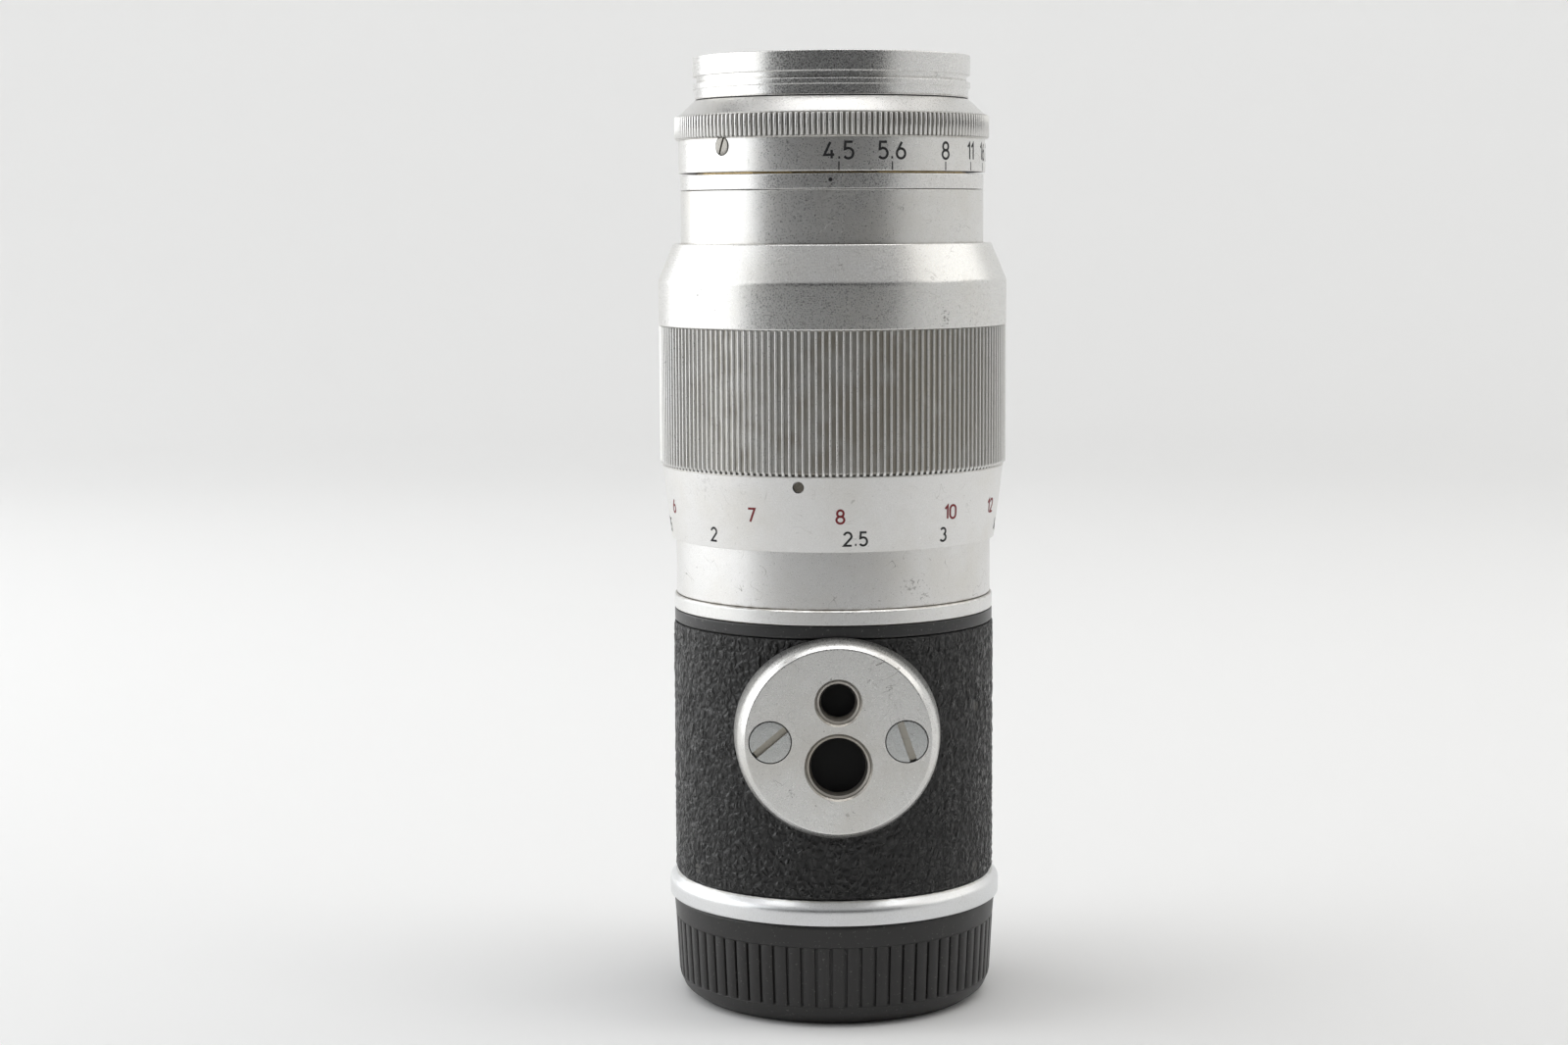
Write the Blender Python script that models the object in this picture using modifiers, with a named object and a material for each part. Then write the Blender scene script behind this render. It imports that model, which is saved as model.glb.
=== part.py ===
"""Prime camera lens, 135 mm long-focus type, built from its separate pieces.

The lens stands on its rear cap: +Z is the optical axis towards the subject, the origin is on that axis at the
flat underside of the cap, and the tripod boss faces -Y. Dimensions are in millimetres and angles in degrees;
the helpers turn them into Blender's metres and radians. Azimuths run from -Y towards +X.
"""
import bpy
import bmesh
from math import cos, pi, radians, sin, sqrt
from mathutils import Matrix, Vector

MM = 0.001

# ---------------------------------------------------------------- fits
SEAT_GAP = 0.3          # between pieces that are screwed or pressed together
RUNNING_GAP = 0.35      # radial, between a turning ring and what it turns on
THREAD_GAP = 0.5        # radial, between the two halves of the helicoid
HOLE_CLEARANCE = 0.3    # radial, around a screw or pin
OUTER_FACETS = 24
INNER_FACETS = 20
SCREW_FACETS = 8

# ---------------------------------------------------------------- heights of the outer rings, bottom to top
CAP_HEIGHT = 15.65
CAP_FLOOR = 1.8
FLANGE_RIM_HEIGHT = 2.2
FLANGE_BEVEL_HEIGHT = 1.05
TUBE_HEIGHT = 38.65
BLACK_BAND_HEIGHT = 1.55
SLEEVE_RING_HEIGHT = 2.0
SLEEVE_SHOWING = 8.8
SCALE_SKIRT_HEIGHT = 11.0
GRIP_HEIGHT = 20.95
PLAIN_BAND_HEIGHT = 6.8
SHOULDER_HEIGHT = 5.55
BARREL_SHOWING = 7.9
INDEX_RING_HEIGHT = 2.05
APERTURE_SCALE_HEIGHT = 4.95
APERTURE_KNURL_HEIGHT = 3.65
APERTURE_CONE_HEIGHT = 2.3
RIM_NECK_HEIGHT = 1.35
RIM_LOWER_LAND_HEIGHT = 0.85
RIM_GROOVE_HEIGHT = 1.05
RIM_FRONT_LAND_HEIGHT = 2.95

# ---------------------------------------------------------------- outer radii
CAP_RADIUS = 24.9
CAP_WAIST_RADIUS = 24.2
CAP_CORNER_RADIUS = 3.0
FLANGE_RADIUS = 25.47
LEATHER_RADIUS = 24.6
LEATHER_THICKNESS = 0.35
BLACK_BAND_RADIUS = 24.4
SLEEVE_RADIUS = 24.06
SKIRT_EDGE_RADIUS = 24.68
SKIRT_TOP_RADIUS = 26.1
GRIP_RADIUS = 26.44
PLAIN_BAND_RADIUS = 26.51
SHOULDER_EDGE_RADIUS = 24.2
BARREL_RADIUS = 23.0
APERTURE_SCALE_RADIUS = 23.26
APERTURE_KNURL_RADIUS = 23.85
RIM_NECK_RADIUS = 20.7
RIM_GROOVE_RADIUS = 20.43
RIM_RADIUS = 21.0
FILTER_THREAD_RADIUS = 19.3

# ---------------------------------------------------------------- bayonet and camera side
SPIGOT_RADIUS = 20.6
SPIGOT_WALL = 1.3
LUG_RADIUS = 21.9
LUG_HEIGHT = 1.7
LUG_CLAW_HEIGHT = 1.85
LUG_COUNT = 4
LUG_NOTCH_ANGLE = 52.0
SPIGOT_HEIGHT = 4.45
CAP_WALL = 2.0
CAM_WALL = 1.3
CAM_TUBE_LENGTH = 18.0
CAM_STANDS_OUT = 2.0
CAM_TRAVEL = 1.9

# ---------------------------------------------------------------- tubes and helicoid
MOUNT_TUBE_WALL = 2.0
MOUNT_TUBE_FOOT_WALL = 3.0
MOUNT_TUBE_FOOT_HEIGHT = 6.0
FIXED_SLEEVE_WALL = 0.8
HELICOID_LEAD = 16.75
HELICOID_TRAVEL = 15.0
HELICOID_STARTS = 6
HELICOID_DEPTH = 0.8
HELICOID_CREST_RADIUS = 20.8
HELICOID_ENGAGEMENT = 5.0
HELICOID_COLLAR_HEIGHT = 2.2
HELICOID_COLLAR_RADIUS = 22.6
HELICOID_FACETS_PER_TURN = 24
FOCUS_FLANGE_HEIGHT = 5.5
FOCUS_SPIGOT_HEIGHT = 4.4
FOCUS_SPIGOT_WALL = 0.8
STOP_RING_HEIGHT = 3.0
HEAD_TUBE_RADIUS = 19.05
HEAD_TUBE_WALL = 1.2
BARREL_FLOOR_HEIGHT = 2.5
BARREL_WALL = 2.2
BARREL_STEP = 1.1
KEY_WIDTH = 2.6
KEY_LENGTH = 16.5
KEY_BITE = 0.9
KEY_RISE = 2.0
KEY_SCREW_LENGTH = 4.2
KEY_SCREW_SLOT_ANGLE = 20
KEY_AZIMUTH = 150.0

# ---------------------------------------------------------------- tripod boss
BOSS_FACE_RADIUS = 13.85
BOSS_RADIUS = 15.3
BOSS_EDGE = 0.15
BOSS_SIDE_DEPTH = 8.7
BOSS_FACE_REACH = 28.0
BOSS_CENTRE_HEIGHT = 43.8
SMALL_SOCKET_RADIUS = 2.5
SMALL_SOCKET_OFFSET = 5.7
LARGE_SOCKET_RADIUS = 4.0
LARGE_SOCKET_OFFSET = -3.8
SOCKET_CHAMFER = 1.05
SOCKET_DEPTH = 4.9
BOSS_SCREW_SPACING = 9.95
BOSS_SCREW_HEAD_RADIUS = 3.05
BOSS_SCREW_HEAD_HEIGHT = 1.6
BOSS_SCREW_SHANK_RADIUS = 1.3
BOSS_SCREW_LENGTH = 8.4
BOSS_SCREW_HOLE_DEPTH = 11.0
BOSS_SCREW_SLOT_ANGLES = (40, 109)

# ---------------------------------------------------------------- small screws
FLANGE_SCREW_COUNT = 4
FLANGE_SCREW_LENGTH = 6.5
SMALL_SCREW_HEAD_RADIUS = 1.2
SMALL_SCREW_HEAD_HEIGHT = 0.9
SMALL_SCREW_SHANK_RADIUS = 0.7
GRUB_SCREW_RADIUS = 0.8
GRUB_SCREW_AZIMUTH = -12.6
GRUB_SCREW_DROP = 1.4
GRUB_SCREW_COUNT = 3
STOP_SCREW_RADIUS = 1.3
STOP_SCREW_AZIMUTH = -45.0
STOP_SCREW_DROP = 1.2
STOP_SCREW_STANDS_OUT = 0.2
STOP_SCREW_HEAD_HEIGHT = 0.9
STOP_SCREW_LENGTH = 1.9
STOP_SCREW_HOLE_DEPTH = 2.6
STOP_SCREW_SLOT_ANGLE = 70
BODY_SCREWS = ((-59.7, 2.1), (60.1, 2.2), (60.6, 26.7))   # azimuth, height above the foot of the tube
BEAD_RADIUS = 1.3
BEAD_AZIMUTH = 180.0
BEAD_HEIGHT = 2.6

# ---------------------------------------------------------------- optics
CELL_WALL = 1.9
CELL_LIP = 1.0
FRONT_CELL_HEIGHT = 10.9
FRONT_CELL_RISE = 0.7
FRONT_GLASS_EDGE = 3.6
FRONT_GLASS_CROWN = 2.6
FRONT_GLASS_BACK_CROWN = -0.6
DOUBLET_REAR_EDGE = 2.6
DOUBLET_REAR_CROWNS = (-0.8, -0.9)
DOUBLET_FRONT_EDGE = 2.2
DOUBLET_FRONT_CROWNS = (-0.5, 0.8)
REAR_GLASS_EDGE = 2.6
REAR_GLASS_CROWNS = (1.6, 0.4)
MIDDLE_CELL_HEIGHT = 9.5
MIDDLE_CELL_BORE = 13.6
REAR_CELL_HEIGHT = 11.0
REAR_CELL_DROP = 30.0
RETAINER_HEIGHT = 1.6
RETAINER_WALL = 0.9

# ---------------------------------------------------------------- iris
BLADE_COUNT = 10
BLADE_THICKNESS = 0.12
BLADE_PITCH = 0.27
BLADE_INNER_RADIUS = 12.9
BLADE_OUTER_RADIUS = 15.2
BLADE_SPAN = 112.0
PIVOT_CIRCLE_RADIUS = 16.1
PIVOT_PIN_RADIUS = 0.35
PIVOT_HOLE_RADIUS = 0.55
IRIS_PLATE_HEIGHT = 1.4
IRIS_BORE_RADIUS = 13.2
IRIS_SKIRT_WALL = 0.6
IRIS_CAM_HEIGHT = 1.8
IRIS_RETAINER_HEIGHT = 1.5
APERTURE_TURN = 98.0
DRIVE_PIN_RADIUS = 0.5
DRIVE_PIN_AZIMUTH = -100.0
DRIVE_SLOT_SPARE = 8.0
APERTURE_SLEEVE_WALL = 1.0

# ---------------------------------------------------------------- heights worked out from the stack
flange_face = CAP_HEIGHT + SEAT_GAP
flange_rim_top = flange_face + FLANGE_RIM_HEIGHT
flange_top = flange_rim_top + FLANGE_BEVEL_HEIGHT
tube_foot = flange_top + SEAT_GAP
tube_top = tube_foot + TUBE_HEIGHT
black_band_foot = tube_top + SEAT_GAP
black_band_top = black_band_foot + BLACK_BAND_HEIGHT
sleeve_ring_foot = black_band_top + SEAT_GAP
sleeve_ring_top = sleeve_ring_foot + SLEEVE_RING_HEIGHT
sleeve_foot = sleeve_ring_top + SEAT_GAP
skirt_foot = sleeve_ring_top + SLEEVE_SHOWING
skirt_top = skirt_foot + SCALE_SKIRT_HEIGHT
grip_foot = skirt_top + SEAT_GAP
grip_top = grip_foot + GRIP_HEIGHT
shoulder_foot = grip_top + PLAIN_BAND_HEIGHT
shoulder_top = shoulder_foot + SHOULDER_HEIGHT
barrel_top = shoulder_top + BARREL_SHOWING
index_foot = barrel_top + SEAT_GAP
index_top = index_foot + INDEX_RING_HEIGHT
aperture_foot = index_top + SEAT_GAP
aperture_scale_top = aperture_foot + APERTURE_SCALE_HEIGHT
aperture_knurl_top = aperture_scale_top + APERTURE_KNURL_HEIGHT
aperture_top = aperture_knurl_top + APERTURE_CONE_HEIGHT
rim_foot = aperture_top + SEAT_GAP
rim_neck_top = rim_foot + RIM_NECK_HEIGHT
rim_lower_land_top = rim_neck_top + RIM_LOWER_LAND_HEIGHT
rim_groove_top = rim_lower_land_top + RIM_GROOVE_HEIGHT
rim_top = rim_groove_top + RIM_FRONT_LAND_HEIGHT

mount_tube_radius = LEATHER_RADIUS - LEATHER_THICKNESS - SEAT_GAP
mount_tube_bore = mount_tube_radius - MOUNT_TUBE_WALL
spigot_bore = SPIGOT_RADIUS - SPIGOT_WALL
focus_bore = SLEEVE_RADIUS + RUNNING_GAP
helicoid_root_radius = HELICOID_CREST_RADIUS - HELICOID_DEPTH
head_bore = HEAD_TUBE_RADIUS - HEAD_TUBE_WALL
cell_radius = head_bore - SEAT_GAP

# The barrel's floor rests on the focus ring's inner flange, and the aperture sleeve ends above that floor.
barrel_floor_foot = grip_top + SEAT_GAP
focus_flange_foot = grip_top - FOCUS_FLANGE_HEIGHT
helicoid_top = focus_flange_foot - SEAT_GAP
fixed_sleeve_top = helicoid_top - HELICOID_COLLAR_HEIGHT - SEAT_GAP
outer_helicoid_top = fixed_sleeve_top - SEAT_GAP
helicoid_foot = outer_helicoid_top - HELICOID_ENGAGEMENT - HELICOID_TRAVEL
spigot_foot = flange_face - SPIGOT_HEIGHT
cam_foot = spigot_foot - CAM_STANDS_OUT
cam_top = cam_foot + CAM_TUBE_LENGTH
head_foot = cam_top + CAM_TRAVEL + RUNNING_GAP + SEAT_GAP
key_foot = head_foot + KEY_RISE
outer_helicoid_foot = key_foot + KEY_LENGTH + SEAT_GAP

front_cell_foot = rim_foot + FRONT_CELL_RISE - FRONT_CELL_HEIGHT
middle_cell_top = front_cell_foot - SEAT_GAP
middle_cell_foot = middle_cell_top - MIDDLE_CELL_HEIGHT
iris_top = middle_cell_foot - SEAT_GAP
blade_room_top = iris_top - IRIS_PLATE_HEIGHT - SEAT_GAP
blade_room_foot = blade_room_top - BLADE_COUNT * BLADE_PITCH
iris_cam_top = blade_room_foot - SEAT_GAP
iris_cam_foot = iris_cam_top - IRIS_CAM_HEIGHT
iris_skirt_foot = iris_cam_foot - SEAT_GAP
drive_pin_height = (iris_cam_foot + iris_cam_top) / 2
rear_cell_top = iris_top - REAR_CELL_DROP
aperture_sleeve_radius = HEAD_TUBE_RADIUS + RUNNING_GAP + APERTURE_SLEEVE_WALL


# ---------------------------------------------------------------- scene, materials and modelling helpers
for leftover in list(bpy.data.objects):
    bpy.data.objects.remove(leftover, do_unlink=True)

lens_parts = bpy.data.collections.new("prime_camera_lens")
cutters = bpy.data.collections.new("cutters")
bpy.context.scene.collection.children.link(lens_parts)
bpy.context.scene.collection.children.link(cutters)


def finish(name, color, roughness, metallic):
    """Make a Principled material."""
    material = bpy.data.materials.new(name)
    material.use_nodes = True
    shader = material.node_tree.nodes["Principled BSDF"]
    shader.inputs["Base Color"].default_value = (*color, 1.0)
    shader.inputs["Roughness"].default_value = roughness
    shader.inputs["Metallic"].default_value = metallic
    return material


satin_chrome = finish("satin_chrome", (0.74, 0.73, 0.71), 0.32, 1.0)
dark_steel = finish("dark_steel", (0.32, 0.30, 0.28), 0.4, 1.0)
brass = finish("brass", (0.66, 0.50, 0.25), 0.35, 1.0)
black_lacquer = finish("black_lacquer", (0.02, 0.02, 0.02), 0.4, 0.0)
black_aluminium = finish("black_aluminium", (0.04, 0.04, 0.04), 0.5, 0.6)
leatherette = finish("leatherette", (0.025, 0.024, 0.023), 0.7, 0.0)
black_plastic = finish("black_plastic", (0.03, 0.03, 0.03), 0.35, 0.0)
coated_glass = finish("coated_glass", (0.75, 0.80, 0.88), 0.05, 0.0)
red_enamel = finish("red_enamel", (0.6, 0.03, 0.02), 0.3, 0.0)
blued_steel = finish("blued_steel", (0.08, 0.08, 0.09), 0.35, 0.9)


def add_object(name, mesh, material=None):
    """Link a mesh as a piece, or as a cutter when it has no material."""
    piece = bpy.data.objects.new(name, mesh)
    if material is None:
        cutters.objects.link(piece)
        piece.hide_render = True
        piece.display_type = "WIRE"
    else:
        mesh.materials.append(material)
        lens_parts.objects.link(piece)
    return piece


def turned(name, profile, material=None, facets=OUTER_FACETS):
    """Turn a profile of (radius, height) about Z, given down its outer side first.

    A profile that leaves the axis and comes back to it stays open; any other is closed into a ring.
    """
    solid_at_axis = profile[0][0] == 0
    mesh = bpy.data.meshes.new(name)
    bm = bmesh.new()
    verts = [bm.verts.new((radius * MM, 0, height * MM)) for radius, height in profile]
    for first, second in zip(verts, verts[1:]):
        bm.edges.new((first, second))
    if not solid_at_axis:
        bm.edges.new((verts[-1], verts[0]))
    bm.to_mesh(mesh)
    bm.free()
    piece = add_object(name, mesh, material)
    screw = piece.modifiers.new("turn", "SCREW")
    screw.steps = facets
    screw.render_steps = facets
    screw.use_merge_vertices = True
    screw.merge_threshold = 0.000002
    screw.use_smooth_shade = False
    return piece


def ring(name, outer, inner, foot, top, material=None, facets=OUTER_FACETS):
    """A plain turned ring."""
    return turned(name, [(outer, top), (outer, foot), (inner, foot), (inner, top)], material, facets)


def swept(name, outline, turn, rise, steps, material=None):
    """Sweep a flat outline of points about Z by an angle while it rises, as one closed solid.

    The spin carries the outline's face to the far end, so a copy of it closes the near one.
    """
    mesh = bpy.data.meshes.new(name)
    bm = bmesh.new()
    face = bm.faces.new([bm.verts.new(Vector(point) * MM) for point in outline])
    bmesh.ops.duplicate(bm, geom=[face])
    bmesh.ops.spin(bm, geom=[face], cent=(0, 0, 0), axis=(0, 0, 1), dvec=(0, 0, rise * MM / steps),
                   angle=radians(turn), steps=steps, use_merge=False, use_duplicate=False)
    bmesh.ops.remove_doubles(bm, verts=bm.verts, dist=0.000001)
    bmesh.ops.recalc_face_normals(bm, faces=bm.faces)
    bm.to_mesh(mesh)
    bm.free()
    return add_object(name, mesh, material)


def block(name, size, centre, material=None):
    """A box of the given size about its centre."""
    mesh = bpy.data.meshes.new(name)
    bm = bmesh.new()
    bmesh.ops.create_cube(bm, size=1.0)
    bmesh.ops.scale(bm, vec=Vector(size) * MM, verts=bm.verts)
    bmesh.ops.translate(bm, vec=Vector(centre) * MM, verts=bm.verts)
    bm.to_mesh(mesh)
    bm.free()
    return add_object(name, mesh, material)


def combine(piece, other, operation):
    """Add an exact Boolean to a piece."""
    boolean = piece.modifiers.new(other.name, "BOOLEAN")
    boolean.operation = operation
    boolean.object = other


def cut(piece, cutter):
    combine(piece, cutter, "DIFFERENCE")


def turn_to(azimuth):
    """Rotation about Z that carries -Y to an azimuth."""
    return Matrix.Rotation(radians(azimuth), 4, "Z")


def aim_outwards(piece, azimuth, height, reach):
    """Place a piece made along +Z so that it points radially outwards, its local zero at a reach from the axis."""
    lay_down = Matrix.Rotation(radians(90), 4, "X")
    out = Matrix.Translation(Vector((0, -reach * MM, height * MM)))
    piece.matrix_world = turn_to(azimuth) @ out @ lay_down


def screw_profile(head_radius, head_height, shank_radius, length):
    """A countersunk screw whose head is flush with local zero."""
    return [(0, 0), (head_radius, 0), (shank_radius, -head_height), (shank_radius, -length), (0, -length)]


def slotted_screw(name, head_radius, head_height, shank_radius, length, slot_angle, material):
    """A countersunk screw with a sawn slot, made along +Z."""
    screw = turned(name, screw_profile(head_radius, head_height, shank_radius, length), material, SCREW_FACETS)
    slot_width = head_radius * 0.28
    slot_depth = head_height * 0.45
    slot = block(name + "_slot", (head_radius * 2.4, slot_width, slot_depth * 2), (0, 0, 0))
    slot.parent = screw
    slot.matrix_parent_inverse = Matrix.Identity(4)
    slot.rotation_euler = (0, 0, radians(slot_angle))
    cut(screw, slot)
    return screw


def screw_hole(name, head_radius, head_height, shank_radius, depth):
    """The countersunk hole for that screw, clear of it all round."""
    head = head_radius + HOLE_CLEARANCE
    shank = shank_radius + HOLE_CLEARANCE
    profile = [(0, 1), (head, 1), (head, 0), (shank, -head_height), (shank, -depth), (0, -depth)]
    return turned(name, profile, None, SCREW_FACETS)


def arc_points(centre_radius, centre_height, size, start, end, count):
    """Points of an arc in the profile plane, angles measured from the radial direction."""
    points = []
    for index in range(count + 1):
        angle = radians(start + (end - start) * index / count)
        points.append((centre_radius + size * cos(angle), centre_height + size * sin(angle)))
    return points


def glass(name, radius, foot, edge, upper_crown, lower_crown, steps=3):
    """A lens element: a crown is positive where the surface bulges outwards."""
    upper = []
    lower = []
    for index in range(steps + 1):
        share = index / steps
        upper.append((radius * share, foot + edge + upper_crown * (1 - share * share)))
        lower.append((radius * (1 - share), foot - lower_crown * (1 - (1 - share) ** 2)))
    return turned(name, upper + lower, coated_glass, INNER_FACETS)


def cell(name, bore, foot, top, material=black_aluminium):
    """A tubular lens cell with a lip at its foot that carries the glass."""
    profile = [(cell_radius, top), (cell_radius, foot), (bore - CELL_LIP, foot),
               (bore - CELL_LIP, foot + CELL_LIP), (bore, foot + CELL_LIP), (bore, top)]
    return turned(name, profile, material, INNER_FACETS)


# ---------------------------------------------------------------- rear cap and bayonet
lug_top = spigot_foot + LUG_HEIGHT
claw_foot = lug_top + SEAT_GAP
claw_top = CAP_HEIGHT - SEAT_GAP
cap_bore = CAP_RADIUS - CAP_WALL
claw_bore = SPIGOT_RADIUS + RUNNING_GAP


def cut_lug_notches(piece, inner, outer, foot, top):
    """Cut the gaps between the bayonet lugs, which lie half way between them."""
    for index in range(LUG_COUNT):
        outline = [(inner, 0, foot), (outer, 0, foot), (outer, 0, top), (inner, 0, top)]
        notch = swept(f"{piece.name}_notch_{index + 1}", outline, LUG_NOTCH_ANGLE, 0, 4)
        notch.matrix_world = turn_to(360 / LUG_COUNT * (index + 0.5) - LUG_NOTCH_ANGLE / 2)
        cut(piece, notch)


corner = arc_points(CAP_WAIST_RADIUS - CAP_CORNER_RADIUS, CAP_CORNER_RADIUS, CAP_CORNER_RADIUS, 0, -90, 3)
rear_cap = turned("rear_cap", [(0, CAP_FLOOR), (cap_bore, CAP_FLOOR), (cap_bore, claw_foot),
                               (claw_bore, claw_foot), (claw_bore, claw_top), (cap_bore, claw_top),
                               (cap_bore, CAP_HEIGHT), (CAP_RADIUS, CAP_HEIGHT)] + corner + [(0, 0)],
                  black_plastic)
cut_lug_notches(rear_cap, claw_bore - 1.0, cap_bore + 0.05, claw_foot - SEAT_GAP / 2, claw_top + SEAT_GAP / 2)

bayonet_flange = turned("bayonet_flange", [
    (LEATHER_RADIUS, flange_top), (FLANGE_RADIUS, flange_rim_top), (FLANGE_RADIUS, flange_face),
    (SPIGOT_RADIUS, flange_face), (SPIGOT_RADIUS, lug_top), (LUG_RADIUS, lug_top), (LUG_RADIUS, spigot_foot),
    (spigot_bore, spigot_foot), (spigot_bore, flange_top)], satin_chrome)
cut_lug_notches(bayonet_flange, SPIGOT_RADIUS + 0.1, LUG_RADIUS + 1.0, spigot_foot - 1.0, lug_top + SEAT_GAP / 2)

cam_radius = spigot_bore - RUNNING_GAP
rangefinder_cam = ring("rangefinder_cam", cam_radius, cam_radius - CAM_WALL, cam_foot, cam_top, brass,
                       INNER_FACETS)

# ---------------------------------------------------------------- fixed tubes
foot_bore = mount_tube_radius - MOUNT_TUBE_FOOT_WALL
foot_step = tube_foot + MOUNT_TUBE_FOOT_HEIGHT
mount_tube = turned("mount_tube", [
    (mount_tube_radius, tube_top), (mount_tube_radius, tube_foot), (foot_bore, tube_foot),
    (foot_bore, foot_step), (mount_tube_bore, foot_step), (mount_tube_bore, tube_top)], black_aluminium)
leather_cover = ring("leather_cover", LEATHER_RADIUS, LEATHER_RADIUS - LEATHER_THICKNESS, tube_foot, tube_top,
                     leatherette)
band_bore = mount_tube_bore + SEAT_GAP
black_band = ring("black_band", BLACK_BAND_RADIUS, band_bore, black_band_foot, black_band_top, black_lacquer)
sleeve_ring = ring("sleeve_ring", BLACK_BAND_RADIUS, band_bore, sleeve_ring_foot, sleeve_ring_top,
                   satin_chrome)
fixed_sleeve_bore = SLEEVE_RADIUS - FIXED_SLEEVE_WALL
fixed_sleeve = ring("fixed_sleeve", SLEEVE_RADIUS, fixed_sleeve_bore, sleeve_foot, fixed_sleeve_top,
                    satin_chrome)

# ---------------------------------------------------------------- helicoid
def thread_outline(crest, root, height):
    """Cross-section of the multi-start thread: two crest points, then two root points, for each start."""
    points = []
    for index in range(HELICOID_FACETS_PER_TURN):
        radius = crest if index % 4 < 2 else root
        angle = radians(360 * (index + 0.5) / HELICOID_FACETS_PER_TURN)
        points.append((radius * cos(angle), radius * sin(angle), height))
    return points


def thread(name, radial_offset, foot, top, material=None):
    """A solid bar with the helicoid's thread, turned so that every height meets the same helix."""
    crest = HELICOID_CREST_RADIUS + radial_offset
    height = top - foot
    turn = 360 * height / HELICOID_LEAD
    steps = round(turn / (360 / HELICOID_FACETS_PER_TURN))
    bar = swept(name, thread_outline(crest, crest - HELICOID_DEPTH, foot), turn, height, steps, material)
    bar.rotation_euler = (0, 0, radians(360 * foot / HELICOID_LEAD))
    return bar


helicoid_bore = HEAD_TUBE_RADIUS + RUNNING_GAP
female_crest = helicoid_root_radius + THREAD_GAP
outer_helicoid = turned("outer_helicoid", [
    (fixed_sleeve_bore - SEAT_GAP, outer_helicoid_top), (fixed_sleeve_bore - SEAT_GAP, sleeve_foot),
    (mount_tube_bore - SEAT_GAP, sleeve_foot), (mount_tube_bore - SEAT_GAP, outer_helicoid_foot),
    (HELICOID_CREST_RADIUS + THREAD_GAP + 0.1, outer_helicoid_foot),
    (HELICOID_CREST_RADIUS + THREAD_GAP + 0.1, outer_helicoid_top - HELICOID_ENGAGEMENT),
    (helicoid_root_radius - 0.5, outer_helicoid_top - HELICOID_ENGAGEMENT),
    (helicoid_root_radius - 0.5, outer_helicoid_top)], brass)
tap = thread("helicoid_tap", THREAD_GAP, outer_helicoid_top - HELICOID_ENGAGEMENT - 1.0, outer_helicoid_top + 1.0)
cut(outer_helicoid, tap)

focus_helicoid = thread("focus_helicoid", 0, helicoid_foot, outer_helicoid_top + SEAT_GAP, black_aluminium)
collar = turned("helicoid_collar", [
    (0, helicoid_top), (HELICOID_COLLAR_RADIUS, helicoid_top),
    (HELICOID_COLLAR_RADIUS, helicoid_top - HELICOID_COLLAR_HEIGHT),
    (helicoid_root_radius, helicoid_top - HELICOID_COLLAR_HEIGHT),
    (helicoid_root_radius, outer_helicoid_top), (0, outer_helicoid_top)])
combine(focus_helicoid, collar, "UNION")
bore = turned("helicoid_bore", [(0, helicoid_top + 1), (helicoid_bore, helicoid_top + 1),
                                (helicoid_bore, helicoid_foot - 1), (0, helicoid_foot - 1)], None, INNER_FACETS)
cut(focus_helicoid, bore)

# ---------------------------------------------------------------- focus ring and scale
spigot_outer = focus_bore + FOCUS_SPIGOT_WALL
spigot_end = grip_foot - FOCUS_SPIGOT_HEIGHT
shoulder_bore = BARREL_RADIUS + RUNNING_GAP
focus_ring = turned("focus_ring", [
    (SHOULDER_EDGE_RADIUS, shoulder_top), (PLAIN_BAND_RADIUS, shoulder_foot), (PLAIN_BAND_RADIUS, grip_top),
    (GRIP_RADIUS, grip_top - 0.2), (GRIP_RADIUS, grip_foot), (spigot_outer, grip_foot),
    (spigot_outer, spigot_end), (focus_bore, spigot_end), (focus_bore, focus_flange_foot),
    (helicoid_bore, focus_flange_foot), (helicoid_bore, grip_top), (shoulder_bore, grip_top),
    (shoulder_bore, shoulder_top)], satin_chrome)
distance_scale_ring = turned("distance_scale_ring", [
    (SKIRT_TOP_RADIUS, skirt_top), (SKIRT_EDGE_RADIUS, skirt_foot), (focus_bore, skirt_foot),
    (focus_bore, spigot_end - SEAT_GAP), (spigot_outer + SEAT_GAP, spigot_end - SEAT_GAP),
    (spigot_outer + SEAT_GAP, skirt_top)], satin_chrome)

# ---------------------------------------------------------------- head: tube, barrel, index ring, rim
stop_ring_top = helicoid_foot - RUNNING_GAP
head_tube = ring("head_tube", HEAD_TUBE_RADIUS, head_bore, head_foot, aperture_top, black_aluminium,
                 INNER_FACETS)
helicoid_stop_ring = ring("helicoid_stop_ring", helicoid_root_radius, HEAD_TUBE_RADIUS + SEAT_GAP,
                          stop_ring_top - STOP_RING_HEIGHT, stop_ring_top, dark_steel, INNER_FACETS)
barrel_bore = BARREL_RADIUS - BARREL_WALL
step_radius = BARREL_RADIUS - BARREL_STEP
head_barrel = turned("head_barrel", [
    (step_radius, index_top - SEAT_GAP), (step_radius, barrel_top), (BARREL_RADIUS, barrel_top),
    (BARREL_RADIUS, barrel_floor_foot), (HEAD_TUBE_RADIUS + SEAT_GAP, barrel_floor_foot),
    (HEAD_TUBE_RADIUS + SEAT_GAP, barrel_floor_foot + BARREL_FLOOR_HEIGHT),
    (barrel_bore, barrel_floor_foot + BARREL_FLOOR_HEIGHT), (barrel_bore, index_top - SEAT_GAP)], satin_chrome)
index_ring = ring("index_ring", BARREL_RADIUS, step_radius + SEAT_GAP, index_foot, index_top, satin_chrome)
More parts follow.
